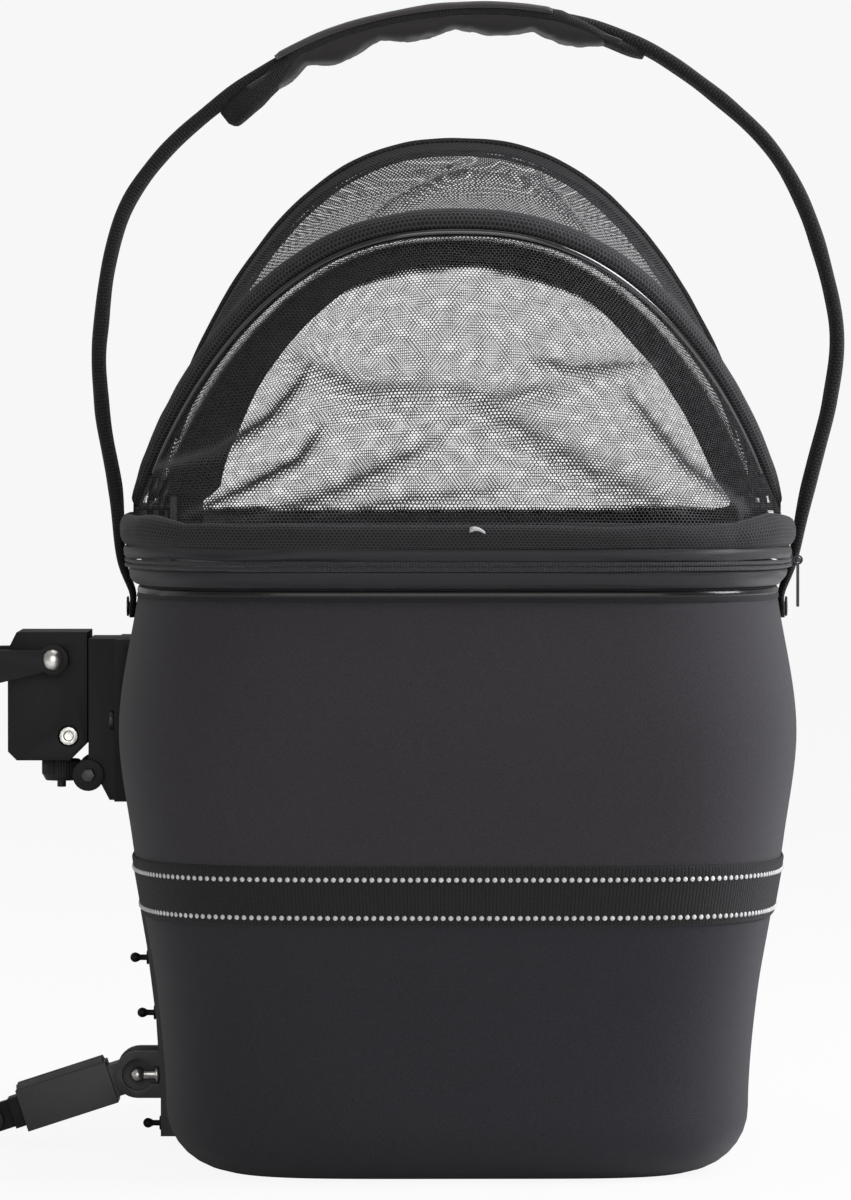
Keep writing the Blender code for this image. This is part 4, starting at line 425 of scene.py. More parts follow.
dressed(mesh_piece("tub_shell", points, faces, lower_cloth), "basket", "lower_tub")

heights = [wall_low.z + (RIM_HEIGHT - wall_low.z) * step / SHELL_RINGS
           for step in range(SHELL_RINGS + 1)]
rows = [shell_row(half_depth(height), height) for height in heights]
rows += [shell_row(half_depth(height) - SHELL_WALL, height) for height in reversed(heights)]
upper_cloth = heathered("upper_shell_cloth", UPPER_CLOTH, SHELL_CONTRAST)
wall = mesh_piece("wall_shell", [point for row in rows for point in row],
                  ring_faces(SHELL_STEPS, len(rows), closed_rows=True), upper_cloth)
dressed(wall, "basket", "upper_wall")


# Reflective band: woven elastic webbing over the seam between the two shells, edge to edge
# round the whole basket, with two rows of raised reflective beads pressed into it.
BAND_COLOUR = (0.0120, 0.0108, 0.0114)
BEAD_COLOUR = (0.50, 0.50, 0.49)
BAND_THICKNESS = 0.0014
BAND_SHARES = (-1, -0.96, -0.9, -0.6, -0.3, 0, 0.3, 0.6, 0.9, 0.96, 1)
BEAD_ROWS = (0.1324, 0.1158)
BEAD_SPACING = 0.0033
BEAD_SIZE = (0.0006, 0.0011, 0.0011)
BEAD_SEGMENTS, BEAD_RINGS = 8, 6
BAND_BACK = 0.0002


def weave_effect():
    """Webbing: raised ribs across the strip, threads along it, and a little lint. The colour is
    painted darker in the grooves and lighter on the crests, as painted shade and highlight.
    """
    group, given = shader_group("woven_webbing", (
        ("Rib Pitch", 0.0012), ("Thread Pitch", 0.0008), ("Contrast", 0.5)), ("Color", "Height"))
    split = add_node(group, "ShaderNodeSeparateXYZ", {0: given["Vector"]}).outputs
    along = math_node(group, "DIVIDE", split["X"], given["Rib Pitch"])
    across = math_node(group, "DIVIDE", split["Y"], given["Thread Pitch"])
    stagger = math_node(group, "MULTIPLY", math_node(group, "FLOOR", along), 0.5)
    ribs, threads = (
        math_node(group, "ABSOLUTE", math_node(
            group, "SINE", math_node(group, "MULTIPLY", value, math.pi)))
        for value in (along, math_node(group, "ADD", across, stagger)))
    relief = math_node(group, "MULTIPLY", math_node(group, "POWER", ribs, 0.6),
                       math_node(group, "MULTIPLY_ADD", threads, 0.45, 0.55))
    lint = noise_node(group, given["Vector"], 900.0, 3.0, 0.6)
    # Painted shade and highlight: the colour follows the relief, darker in the grooves between ribs
    # and threads and lighter on their crests. Contrast sets how much.
    light = math_node(group, "MULTIPLY_ADD", relief, given["Contrast"], 1.0)
    light = math_node(group, "MULTIPLY_ADD", given["Contrast"], -0.6, light)
    light = math_node(group, "MULTIPLY", light, float_range(group, lint, 0.3, 0.7, 0.85, 1.15))
    add_node(group, "NodeGroupOutput", {
        "Color": shaded(group, given["Color"], light),
        "Height": math_node(group, "MULTIPLY_ADD", lint, 0.15, relief)})
    return group


WEBBING = weave_effect()


def webbing(name, colour, rib, thread, contrast, depth, roughness=0.85, sheen=0.06, shine=0.25):
    material, tree, shader = new_material(name, colour, roughness, sheen=sheen, shine=shine)
    # contrast sets how strongly the weave's grooves are painted with shade and its crests with
    # highlight.
    add_effect(tree, shader, WEBBING, "UV", depth, 1.0, Color=(*colour, 1), Rib_Pitch=rib,
               Thread_Pitch=thread, Contrast=contrast)
    return material


def strip_piece(name, sections, material, closed=True, loop=True):
    """A strip from cross sections set one after another, with its UV map in metres.

    U runs from section to section and V round each section. Closed joins the last section
    to the first, and a strip that isn't gets end caps, unless its sections are no loops.
    """
    count = len(sections[0])
    steps = len(sections) if closed else len(sections) - 1
    along = run_lengths([sum((Vector(p) for p in section), Vector()) / count
                         for section in sections], closed)
    around = run_lengths(list(sections[0]), loop)
    faces, places = [], []
    for row in range(steps):
        base = row * count
        above = ((row + 1) % len(sections)) * count
        for column in range(count if loop else count - 1):
            after = (column + 1) % count
            faces.append((base + column, above + column, above + after, base + after))
            places += [(along[row], around[column]), (along[row + 1], around[column]),
                       (along[row + 1], around[column + 1]), (along[row], around[column + 1])]
    if loop and not closed:
        for row in (0, steps):
            faces.append(tuple(range(row * count, (row + 1) * count)))
            places += [(along[row], around[column]) for column in range(count)]
    return mesh_piece(name, [point for section in sections for point in section], faces,
                      material, places)


def repeat_along(name, points, outward, spacing, size, material):
    """Beads spaced evenly along a closed run of points, made by Geometry Nodes."""
    mesh = bpy.data.meshes.new(name)
    count = len(points)
    mesh.from_pydata([tuple(point) for point in points],
                     [(index, (index + 1) % count) for index in range(count)], [])
    facing = mesh.attributes.new("facing", "FLOAT_VECTOR", "POINT")
    facing.data.foreach_set("vector", [number for vector in outward for number in vector])
    carrier = in_scene(name + "_path", mesh)

    tree = bpy.data.node_groups.new(name, "GeometryNodeTree")
    for side in ("INPUT", "OUTPUT"):
        tree.interface.new_socket("Geometry", in_out=side, socket_type="NodeSocketGeometry")
    curve = add_node(tree, "GeometryNodeMeshToCurve",
                     {0: add_node(tree, "NodeGroupInput").outputs["Geometry"]})
    resampled = add_node(tree, "GeometryNodeResampleCurve", {
        "Curve": curve.outputs[0], "Count": round(run_lengths(points, True)[-1] / spacing)})
    bead = add_node(tree, "GeometryNodeMeshUVSphere", {
        "Segments": BEAD_SEGMENTS, "Rings": BEAD_RINGS, "Radius": 1.0})
    facing = add_node(tree, "GeometryNodeInputNamedAttribute", {"Name": "facing"},
                      data_type="FLOAT_VECTOR")
    turned = add_node(tree, "FunctionNodeAlignRotationToVector",
                      {"Vector": facing.outputs["Attribute"]}, axis="X")
    placed = add_node(tree, "GeometryNodeInstanceOnPoints", {
        "Points": resampled.outputs[0], "Instance": bead.outputs["Mesh"],
        "Rotation": turned.outputs[0], "Scale": size})
    realized = add_node(tree, "GeometryNodeRealizeInstances", {0: placed.outputs[0]})
    finished = add_node(tree, "GeometryNodeSetMaterial",
                        {"Material": material, "Geometry": realized.outputs[0]})
    add_node(tree, "NodeGroupOutput", {0: finished.outputs[0]})
    carrier.modifiers.new("Repeat", "NODES").node_group = tree

    graph = bpy.context.evaluated_depsgraph_get()
    baked = bpy.data.meshes.new_from_object(carrier.evaluated_get(graph), depsgraph=graph)
    bpy.data.objects.remove(carrier)
    baked.shade_smooth()
    return in_scene(name, baked)


def outward_turn(turn, depth, width):
    """The level direction that faces straight out of a rounded rectangle at a turn."""
    power = 2 - 2 / PLAN_POWER
    return Vector((signed_power(math.cos(turn), power) / depth,
                   signed_power(math.sin(turn), power) / width, 0)).normalized()


def around_body(section):
    """Sections round the body: section is (outward offset, height) pairs from its surface."""
    sections = []
    for turn in TURNS:
        ring = []
        for offset, height in section:
            depth = half_depth(height)
            point = plan_point(depth, turn, height)
            facing = outward_turn(turn, depth, depth + SIDE_EXTRA)
            ring.append(point + facing * (offset + uneven(point)))
        sections.append(ring)
    return sections


band_low, band_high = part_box("reflective_band")
middle = (band_low.z + band_high.z) / 2
band_half = (band_high.z - band_low.z) / 2
section = [(BAND_BACK, middle + band_half * share) for share in (0.97, -0.97)]
section += [(BAND_THICKNESS * (0.35 + 0.65 * min(1.0, (1 - abs(share)) * 9)),
             middle + band_half * share) for share in BAND_SHARES]
band_cloth = webbing("band_webbing", BAND_COLOUR, 0.0016, 0.0011, 0.8, 0.0003)
dressed(strip_piece("band_strip", around_body(section), band_cloth),
        "basket", "reflective_band")


def grain_effect():
    """Moulded or rolled surfaces: fine grain, slow smudges and rubbed light places."""
    group, given = shader_group("surface_grain", (
        ("Grain", 900.0), ("Roughness", 0.4), ("Wear", 0.1)), ("Color", "Roughness", "Height"))
    fine = noise_node(group, given["Vector"], given["Grain"], 3.0, 0.6)
    smudge = noise_node(group, given["Vector"], 40.0, 4.0, 0.6)
    scuffs = float_range(group, smudge, 0.52, 0.75, 0.0, 1.0)
    amount = math_node(group, "MULTIPLY", scuffs, given["Wear"])
    light = math_node(group, "MULTIPLY_ADD", amount, 1.5,
                      float_range(group, fine, 0.3, 0.7, 0.9, 1.1))
    dull = math_node(group, "MULTIPLY_ADD", scuffs, 0.12, given["Roughness"])
    add_node(group, "NodeGroupOutput", {
        "Color": shaded(group, given["Color"], light),
        "Roughness": math_node(group, "MULTIPLY_ADD", fine, 0.08, dull), "Height": fine})
    return group


GRAIN = grain_effect()


def grained(name, colour, roughness, metallic=0.0, wear=0.1, grain=900.0, depth=0.00008,
            coat=0.0, shine=0.5):
    material, tree, shader = new_material(name, colour, roughness, metallic, coat=coat,
                                          shine=shine)
    surface = add_effect(tree, shader, GRAIN, "Object", depth, 0.6, Color=(*colour, 1),
                         Grain=grain, Roughness=roughness, Wear=wear)
    tree.links.new(surface["Roughness"], shader.inputs["Roughness"])
    return material


bead_material = grained("reflective_bead", BEAD_COLOUR, 0.35, wear=0.3)
for index, height in enumerate(BEAD_ROWS):
    depth = half_depth(height)
    ring = [section[0] for section in around_body([(BAND_THICKNESS, height)])]
    facing = [outward_turn(turn, depth, depth + SIDE_EXTRA) for turn in TURNS]
    beads = repeat_along("band_beads_%d" % (index + 1), ring, facing, BEAD_SPACING, BEAD_SIZE,
                         bead_material)
    dressed(beads, "basket")


# Rim: a glossy round piping sewn over the wall's top edge, then the zip's lower tape, which
# stands out a little from the wall and puckers along its length.
PIPING_COLOUR = (0.006, 0.006, 0.0055)
TAPE_COLOUR = (0.0110, 0.0105, 0.0125)
SATIN_COLOUR = (0.0095, 0.0088, 0.0115)
PIPING_PUCKER = 0.00012
TAPE_PUCKER = 0.0007
TAPE_THICKNESS = 0.0013
TAPE_SHARES = (0, 0.06, 0.2, 0.35, 0.5, 0.65, 0.8, 0.94, 1)
PUCKER_SCALE = Vector((3.2, 3.2, 420))
RISE_SCALE = 2.2
CUT_TURN = 0.0005
HALF_RIM_STEPS = 200

piping_low, piping_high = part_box("rim_piping")
tape_low, tape_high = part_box("lower_zip_tape")
hem_low, hem_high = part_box("cover_hem")
coil_low, coil_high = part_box("lower_zip_coil")
cover_coil_low, cover_coil_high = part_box("cover_zip_coil")
cover_tape_low, cover_tape_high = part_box("cover_zip_tape")
RIM_DEPTH = piping_high.x
RIM_WIDTH = piping_high.y
TAPE_OUT = tape_high.x - RIM_DEPTH
COIL_OUT = coil_high.x - RIM_DEPTH
FINE_TURNS = even_turns(360)


def rim_point(turn, offset, height):
    point = plan_point(RIM_DEPTH, turn, height)
    return point + outward_turn(turn, RIM_DEPTH, RIM_WIDTH) * offset


def around_rim(section, turns=FINE_TURNS, pucker=0.0, seed=0.0, rise=0.0):
    """Sections round the rim: long shallow folds run along it where cloth puckers."""
    sections = []
    for turn in turns:
        ring = []
        lifted = rise * noise.noise(Vector((math.cos(turn) * RISE_SCALE,
                                            math.sin(turn) * RISE_SCALE, seed)))
        for offset, height in section:
            spot = Vector((math.cos(turn), math.sin(turn), height)) * PUCKER_SCALE
            spot.z += seed
            folds = noise.noise(spot) + 0.5 * noise.noise(spot * 2.3)
            ring.append(rim_point(turn, offset + pucker * folds, height + lifted))
        sections.append(ring)
    return sections


def half_turns(side):
    """Turns over half of the rim, from rear to front, the cut ends included."""
    start = 0.0 if side > 0 else math.pi
    chosen = sorted((turn - start) % math.tau for turn in even_turns(2 * HALF_RIM_STEPS)
                    if CUT_TURN < (turn - start) % math.tau < math.pi - CUT_TURN)
    return [start] + [start + turn for turn in chosen] + [start + math.pi]


def tape_section(low, high, offset_low, offset_high, puff):
    """A soft strip's section: outer face puffed between its edges, and a flatter back."""
    outer = [(offset_low + (offset_high - offset_low) * share
              + puff * math.sin(math.pi * share) ** 0.7, low + (high - low) * share)
             for share in TAPE_SHARES]
    inner = [(offset - TAPE_THICKNESS - puff * 0.6 * math.sin(math.pi * share), height)
             for (offset, height), share in zip(outer, TAPE_SHARES)]
    return outer + inner[::-1]


radius = (piping_high.z - piping_low.z) / 2
centre = (piping_high.z + piping_low.z) / 2
section = [(radius * (math.cos(turn) - 1), centre + radius * math.sin(turn))
           for turn in ring_turns(14)]
piping_gloss = grained("glossy_piping", PIPING_COLOUR, 0.2, wear=0.15, grain=700.0, coat=0.25,
                       shine=0.25)
dressed(strip_piece("rim_piping_cord", around_rim(section, pucker=PIPING_PUCKER), piping_gloss),
        "basket", "rim_piping")
# The flange that holds the piping shows as a thin band above and below it.
section = [(-0.0042, RIM_HEIGHT - 0.0006), (-0.0006, RIM_HEIGHT - 0.0008),
           (0.0003, RIM_HEIGHT + 0.0002), (-0.0004, centre), (-0.0012, tape_low.z + 0.0006),
           (-0.0042, tape_low.z + 0.0006)]
flange_cloth = webbing("piping_flange", TAPE_COLOUR, 0.0009, 0.0006, 0.5, 0.0001)
dressed(strip_piece("piping_flange", around_rim(section), flange_cloth), "basket")
section = tape_section(tape_low.z, tape_high.z, 0.0004, TAPE_OUT - 0.0008, 0.0013)
satin = webbing("satin_tape", SATIN_COLOUR, 0.0007, 0.0005, 0.35, 0.00008, 0.48, 0.10, 0.35)
dressed(strip_piece("lower_tape_cloth", around_rim(section, pucker=TAPE_PUCKER, seed=3.0), satin),
        "basket", "lower_zip_tape")


# Zip: two ribbed coils that meet round the near half of the rim, each covered by its tape, so
# that they show as fine ribbed ridges. The upper tape belongs to the roof's end cloth.
COIL_COLOUR = (0.0200, 0.0190, 0.0220)
COIL_DEEP = 0.0022
NEAR_PLANE = math.radians(-41.5)
ROOF_PIVOT = (0, 0, 0.2897)


def ridge_section(low, high, out):
    """Half-round ridge of a coil under its tape."""
    middle, half = (low + high) / 2, (high - low) / 2
    ridge = [(out - half + half * math.cos(turn), middle + half * math.sin(turn))
             for turn in (math.pi * (part / 8 - 0.5) for part in range(9))]
    return ridge + [(out - COIL_DEEP, high), (out - COIL_DEEP, low)]


def fold_with_near_hoop(piece):
    """Give the piece its own copy of its mesh."""
    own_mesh(piece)


near_turns = half_turns(-1)
far_turns = half_turns(1)
coil_ribs = webbing("zip_coil", COIL_COLOUR, 0.0013, 0.0006, 0.9, 0.0004, 0.5, 0.15)
for name, node, low, high, body in (
        ("lower_coil_ridge", "lower_zip_coil", coil_low, coil_high, "basket"),
        ("cover_coil_ridge", "cover_zip_coil", cover_coil_low, cover_coil_high, "near_roof")):
    sections = around_rim(ridge_section(low.z, high.z, COIL_OUT), near_turns, 0.0002, 5.0)
    coil = dressed(strip_piece(name, sections, coil_ribs, closed=False), body, node)
fold_with_near_hoop(coil)
section = tape_section(cover_tape_low.z, cover_tape_high.z, TAPE_OUT, TAPE_OUT + 0.0004, 0.0010)
sections = around_rim(section, near_turns, TAPE_PUCKER * 1.5, 9.0, 0.0012)
fold_with_near_hoop(dressed(strip_piece("cover_tape_cloth", sections, satin, closed=False),
                            "near_roof", "cover_zip_tape"))


# Knitted mesh: fine black polyester net with round holes in staggered rows. Doubled up it is
# nearly opaque, as in the hem above the zip and the skirt at the far end, which are one tube each.
MESH_PITCH = 0.00175
MESH_HOLE = 0.435
MESH_COLOUR = (0.030, 0.029, 0.031)
DOUBLE_COLOUR = (0.0215, 0.0208, 0.0225)
HEM_SHARES = (0, 0.08, 0.2, 0.35, 0.5, 0.65, 0.8, 0.92, 1)
HEM_BACK = -0.0016
HEM_CLEAR, HEM_BACK_CLEAR = 0.0014, 0.0022
HEM_SLACK = 0.0007
CORNER_ACROSS, CORNER_HALF = 0.80, 0.20
CORNER_RISE = 0.0035
BRACKET_TURN = 0.12


def mesh_effect():
    """Net with staggered round holes. Gather closes the holes where the cloth bunches. The threads
    are painted darker at the holes' edges and lighter in their middles, as painted shade and
    highlight.
    """
    group, given = shader_group("knitted_net", (
        ("Pitch", 0.00175), ("Hole", 0.43), ("Gather", 0.0)), ("Color", "Alpha", "Height"))
    split = add_node(group, "ShaderNodeSeparateXYZ", {0: given["Vector"]}).outputs
    across, up = (math_node(group, "DIVIDE", split[axis], given["Pitch"]) for axis in "XY")
    up = math_node(group, "DIVIDE", up, math.sqrt(3))
    distances = []
    for shift in (0.0, 0.5):
        parts = []
        for value, stretch in ((across, 1.0), (up, math.sqrt(3))):
            cell = math_node(group, "FRACT", math_node(group, "ADD", value, shift))
            offset = math_node(group, "MULTIPLY", math_node(group, "SUBTRACT", cell, 0.5), stretch)
            parts.append(math_node(group, "MULTIPLY", offset, offset))
        distances.append(math_node(group, "SQRT", math_node(group, "ADD", *parts)))
    loose = noise_node(group, given["Vector"], 160.0, 2.0)
    hole = math_node(group, "MULTIPLY", given["Hole"],
                     math_node(group, "MULTIPLY_ADD", given["Gather"], -1.0, 1.0))
    hole = math_node(group, "MULTIPLY", hole, float_range(group, loose, 0.3, 0.7, 0.94, 1.06))
    past = math_node(group, "SUBTRACT", math_node(group, "MINIMUM", *distances), hole)
    # Painted shade and highlight: threads darker at the holes' edges and lighter in their middles.
    light = float_range(group, past, 0.0, 0.14, 0.75, 1.3)
    add_node(group, "NodeGroupOutput", {
        "Color": shaded(group, given["Color"], light),
        "Alpha": float_range(group, past, -0.035, 0.035, 0.0, 1.0),
        "Height": float_range(group, past, 0.0, 0.12, 0.0, 1.0)})
    return group


NET = mesh_effect()


def net(name, colour, hole, pitch=MESH_PITCH, backed=True):
    """Net cloth. Backed net lies on a second layer, and its holes are painted dark as shade on that
    layer.
    Single net closes its holes where its attribute says that it bunches, and is painted darker
    there as shade."""
    material, tree, shader = new_material(name, colour, 0.85, sheen=0.08, shine=0.3)
    bunching_and_shade = 0.0
    if not backed:
        bunching_and_shade = add_node(tree, "ShaderNodeAttribute", attribute_name="gather_and_shade").outputs["Fac"]
    cloth = add_effect(tree, shader, NET, "UV", 0.0003, 1.0, Color=(*colour, 1), Pitch=pitch,
                       Hole=hole, Gather=bunching_and_shade)
    if backed:
        # Painted shade: the holes of backed net are darkened to 0.30 of the colour, as the shaded
        # layer behind.
        light = float_range(tree, cloth["Alpha"], 0.0, 1.0, 0.30, 1.0)
    else:
        # Painted shade: single net is darkened down to 0.42 of its colour where it bunches, folds,
        # doubles along a hoop or closes towards its sides.
        light = float_range(tree, bunching_and_shade, 0.2, 0.9, 1.0, 0.42)
        tree.links.new(cloth["Alpha"], shader.inputs["Alpha"])
    tree.links.new(shaded(tree, cloth["Color"], light), shader.inputs["Base Color"])
    return material


double_net = net("double_net", DOUBLE_COLOUR, 0.33)


def hem_wave(turn):
    """The hem's upper edge rises and falls where the net is gathered on to it."""
    spot = math.cos(turn) * RIM_DEPTH
    return (0.0012 * noise.noise(Vector((spot * 38, 0, 4.0)))
            + 0.0018 * noise.noise(Vector((spot * 13, 2.0, 8.0)))
            + 0.0022 * abs(math.cos(turn)) ** 6)


def puffed_hem(turns, low, high, puff, corner_puff):
    """A slack tube of doubled net: its face bulges, most at the corners, and it keeps clear
    of the hoops' brackets."""
    sections = []
    for turn in turns:
        corner = 0.0
        if abs(math.sin(turn)) > 0.2:
            off_corner = abs(abs(math.cos(turn)) - CORNER_ACROSS)
            corner = max(0.0, 1 - off_corner / CORNER_HALF) ** 0.6
        top = high + hem_wave(turn) + CORNER_RISE * corner
        clear = min(1.0, 2 * max(0.0, 1 - abs(math.sin(turn)) / BRACKET_TURN))
        ring = []
        for share in HEM_SHARES:
            hump = math.sin(math.pi * share) ** 0.55
            height = low + (top - low) * share
            spot = Vector((math.cos(turn) * 5, math.sin(turn) * 5, height * 160))
            slack = HEM_SLACK * noise.noise(spot) * hump
            out = TAPE_OUT + HEM_CLEAR * clear + (puff + corner_puff * corner) * hump + slack
            ring.append(rim_point(turn, out, height))
        for share in (1, 0.66, 0.33, 0):
            ring.append(rim_point(turn, TAPE_OUT + HEM_BACK + HEM_BACK_CLEAR * clear,
                                  low + (top - low) * share))
        sections.append(ring)
    return sections


hem = strip_piece("net_hem", puffed_hem(near_turns, hem_low.z - 0.0006, hem_high.z + 0.0004,
                                        0.0024, 0.0034), double_net, closed=False)
fold_with_near_hoop(dressed(hem, "near_roof", "cover_hem"))
skirt_low, skirt_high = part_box("far_skirt")
skirt = strip_piece("net_skirt", puffed_hem(far_turns, skirt_low.z, skirt_high.z, 0.0012, 0.001),
                    double_net, closed=False)
dressed(skirt, "basket", "far_skirt")

# A folded end of white care tape, blank, is caught in the hem's seam near the middle.
TAB_X = 0.0045
TAB_LENGTH = 0.00672
TAB_HEIGHT = 0.2812
TAB_FOLD = 0.0024
tab_turn = min((turn for turn in near_turns if math.sin(turn) < 0),
               key=lambda turn: abs(rim_point(turn, 0, 0).x - TAB_X))
tab_y = rim_point(tab_turn, TAPE_OUT + 0.0030, 0).y
sections = []
for step in range(9):
    share = step / 8
    x = TAB_X + TAB_LENGTH * share
    low = TAB_HEIGHT + 0.0012 * math.sin(math.pi * share) - 0.0006 * share
    high = low + TAB_FOLD * (1 - 0.55 * share)
    curl = 0.0010 * math.sin(math.pi * share ** 0.5)
    sections.append([Vector((x, tab_y + out, height)) for out, height in (
        (-0.0004 - curl, low), (-0.0004, high), (0.0003, high), (0.0003, low))])
tab_cloth = webbing("care_tape", (0.42, 0.42, 0.42), 0.0004, 0.0004, 0.3, 0.00005, 0.7, 0.1)
fold_with_near_hoop(dressed(strip_piece("folded_tape_end", sections, tab_cloth, closed=False),
                            "near_roof"))


# Roof hoops: three sprung rods that turn together on pins at the rim. The near one is bound in
# doubled net with a glossy piping on its near side, and the others run in a sewn net tunnel.
HOOP_WIDTH_POWER = 0.851
HOOP_HEIGHT_POWER = 1.64
HOOPS = {
    "near": (0.14517, 0.1701, NEAR_PLANE),
    "middle": (0.13907, 0.1640, 0.0),
    "far": (0.13387, 0.1588, math.radians(41.0)),
}
HOOP_STEP = 0.004
HOOP_FIRST, HOOP_LAST = 0.0005, 0.9995
BINDING_COLOUR = (0.040, 0.039, 0.041)
TUNNEL_COLOUR = (0.0130, 0.0124, 0.0134)
STEEL_COLOUR = (0.055, 0.055, 0.058)
FACING_MIDDLE, FACING_REAR, FACING_FRONT = 0.0095, 0.0260, 0.0120
FACING_STEPS = 6
FACING_INSET, FACING_BACK, FACING_WAVE = 0.002, 0.0030, 0.0012
FOOT_SLIM, FOOT_SHARE = 0.60, 0.16
EYE_RADIUS = 0.0044
EYE_RINGS = ((-0.0015, 0.92), (-0.0012, 1.0), (0.0012, 1.0), (0.0015, 0.92))
LUG_HALF, LUG_LOW, LUG_HIGH = 0.0034, 0.002, 0.013
LUG_LEAN = -0.0024


def hoop_spot(name, share):
    """A point of a hoop's middle line, in the hoop's own plane."""
    half_span, height, _ = HOOPS[name]
    turn = math.pi * share
    return Vector((-half_span * signed_power(math.cos(turn), HOOP_WIDTH_POWER), 0,
                   height * max(math.sin(turn), 0) ** HOOP_HEIGHT_POWER))


def hoop_frame(name, share):
    """A point on a hoop's middle line, the way straight out from it, and its plane's normal."""
    before, after = max(share - HOOP_STEP, HOOP_FIRST), min(share + HOOP_STEP, HOOP_LAST)
    along = (hoop_spot(name, after) - hoop_spot(name, before)).normalized()
    tipped = Matrix.Rotation(-HOOPS[name][2], 3, "X")
    return (tipped @ hoop_spot(name, share) + Vector(ROOF_PIVOT),
            tipped @ Vector((-along.z, 0, along.x)), tipped @ Vector((0, 1, 0)))


def hoop_shares(first, count):
    """Shares of a hoop's run at even distances along it, from one side to the other."""
    fine = [first + (1 - 2 * first) * step / 900 for step in range(901)]
    return [fine[index] + (fine[index + 1] - fine[index]) * left for index, left in
            even_places([hoop_frame("middle", share)[0] for share in fine], count)]


def hoop_tube(name, shares, section, material, slack=0.0, seed=0.0):
    """A tube along a hoop. Section is (outward, along the plane's normal) pairs."""
    sections = []
    for share in shares:
        centre, out, normal = hoop_frame(name.split("_")[0], share)
        slim = FOOT_SLIM + (1 - FOOT_SLIM) * min(min(share, 1 - share) / FOOT_SHARE, 1.0)
        ring = []
        for outward, beside in section:
            point = centre + out * outward * slim + normal * beside
            bend = slack * noise.noise(point * 70 + Vector((seed, 0, 0)))
            ring.append(point + out * bend)
        sections.append(ring)
    return strip_piece(name, sections, material, closed=False)


def oval(half_out, half_beside, centre_out=0.0, centre_beside=0.0, steps=16):
    return [(centre_out + half_out * math.cos(turn), centre_beside + half_beside * math.sin(turn))
            for turn in ring_turns(steps)]


binding = net("binding_net", BINDING_COLOUR, 0.36, 0.0019)
tunnel = net("tunnel_net", TUNNEL_COLOUR, 0.36, 0.0022)
hoop_gloss = grained("hoop_piping_gloss", PIPING_COLOUR, 0.16, wear=0.1, grain=700.0, coat=0.8)
shares = hoop_shares(0.034, 174)
for tube, body, slot, node in (
        (hoop_tube("near_binding", shares, oval(0.0040, 0.0050, 0.0002, 0.0006), binding, 0.0004),
         "near_roof", "mesh_cloth", "near_hoop"),
        (hoop_tube("near_piping_cord", hoop_shares(0.10, 170),
                   oval(0.0019, 0.0019, -0.0026, -0.0054), hoop_gloss),
         "near_roof", "gloss_piping", "near_hoop_piping"),
        (hoop_tube("middle_tunnel", shares, oval(0.0033, 0.0031, -0.0003, 0, 14), tunnel,
                   0.0003, 3.0), "middle_roof", "mesh_cloth", "middle_hoop"),
        (hoop_tube("far_tunnel", shares, oval(0.0046, 0.0032, -0.0016, 0, 14), tunnel,
                   0.0003, 6.0), "far_roof", "mesh_cloth", "far_hoop"),
        (hoop_tube("middle_seam_cord", hoop_shares(0.12, 150),
                   oval(0.0009, 0.0009, -0.0046, -0.0022, 10), binding),
         "middle_roof", "mesh_cloth", "")):
    dressed(tube, body, node)

facing = []
for share in hoop_shares(0.036, 150):
    centre, out, normal = hoop_frame("far", share)
    edge = abs(2 * share - 1)
    side_depth = FACING_REAR if share < 0.5 else FACING_FRONT
    deep = FACING_MIDDLE + (side_depth - FACING_MIDDLE) * edge ** 1.5
    deep *= 0.45 + 0.55 * min(1.0, (1 - edge) / FOOT_SHARE)
    ring = []
    for step in range(FACING_STEPS + 1):
        down = step / FACING_STEPS
        point = centre - out * (FACING_INSET + deep * down) - normal * FACING_BACK
        ring.append(point + normal * FACING_WAVE * noise.noise(point * 34) * down
                    + out * FACING_WAVE * noise.noise(point * 30) * down)
    facing.append(ring)
feet = [[Vector((point.x, point.y, skirt_high.z - 0.0030)) for point in facing[end]]
        for end in (0, -1)]
far_facing = dressed(strip_piece("far_facing", [feet[0], *facing, feet[1]], tunnel, closed=False,
                                 loop=False), "far_roof")


def bars(runs):
    """Points and faces of bars, each a run of rings with equally many points, ends closed."""
    points, faces = [], []
    for rings in runs:
        base, count = len(points), len(rings[0])
        points += [point for ring in rings for point in ring]
        faces += [tuple(base + index for index in face) for face in ring_faces(count, len(rings))]
        faces += [tuple(range(base, base + count)), tuple(range(len(points) - count, len(points)))]
    return points, faces


def rod_eye(name, side):
    """The hoop's flat eye on its pin and the end of the rod that goes up into the cloth."""
    half_span, _, tilt = HOOPS[name]
    tipped = Matrix.Rotation(-tilt, 3, "X")
    eye = [Vector((0, EYE_RADIUS * math.cos(turn), EYE_RADIUS * math.sin(turn)))
           for turn in ring_turns(18)]
    lug = [Vector((0, LUG_HALF, LUG_LOW)), Vector((0, LUG_HALF, LUG_HIGH)),
           Vector((0, -LUG_HALF, LUG_HIGH)), Vector((0, -LUG_HALF, LUG_LOW))]
    runs = []
    for outline, lean in ((eye, 0.0), (lug, LUG_LEAN)):
        rings = []
        centre = sum(outline, Vector()) / len(outline)
        for offset, tuck in EYE_RINGS:
            rings.append([tipped @ (Vector((side * (half_span + lean * max(point.z, 0) / LUG_HIGH)
                                            + offset, 0, 0)) + centre + (point - centre) * tuck)
                          + Vector(ROOF_PIVOT) for point in outline])
        runs.append(rings)
    name = "%s_hoop_eye_%s" % (name, "rear" if side < 0 else "front")
    return mesh_piece(name, *bars(runs), hoop_steel)


hoop_steel = grained("spring_steel", STEEL_COLOUR, 0.38, 0.9, wear=0.4, grain=1400.0)
for hoop_name in HOOPS:
    for side in (-1, 1):
        dressed(rod_eye(hoop_name, side), hoop_name + "_roof")
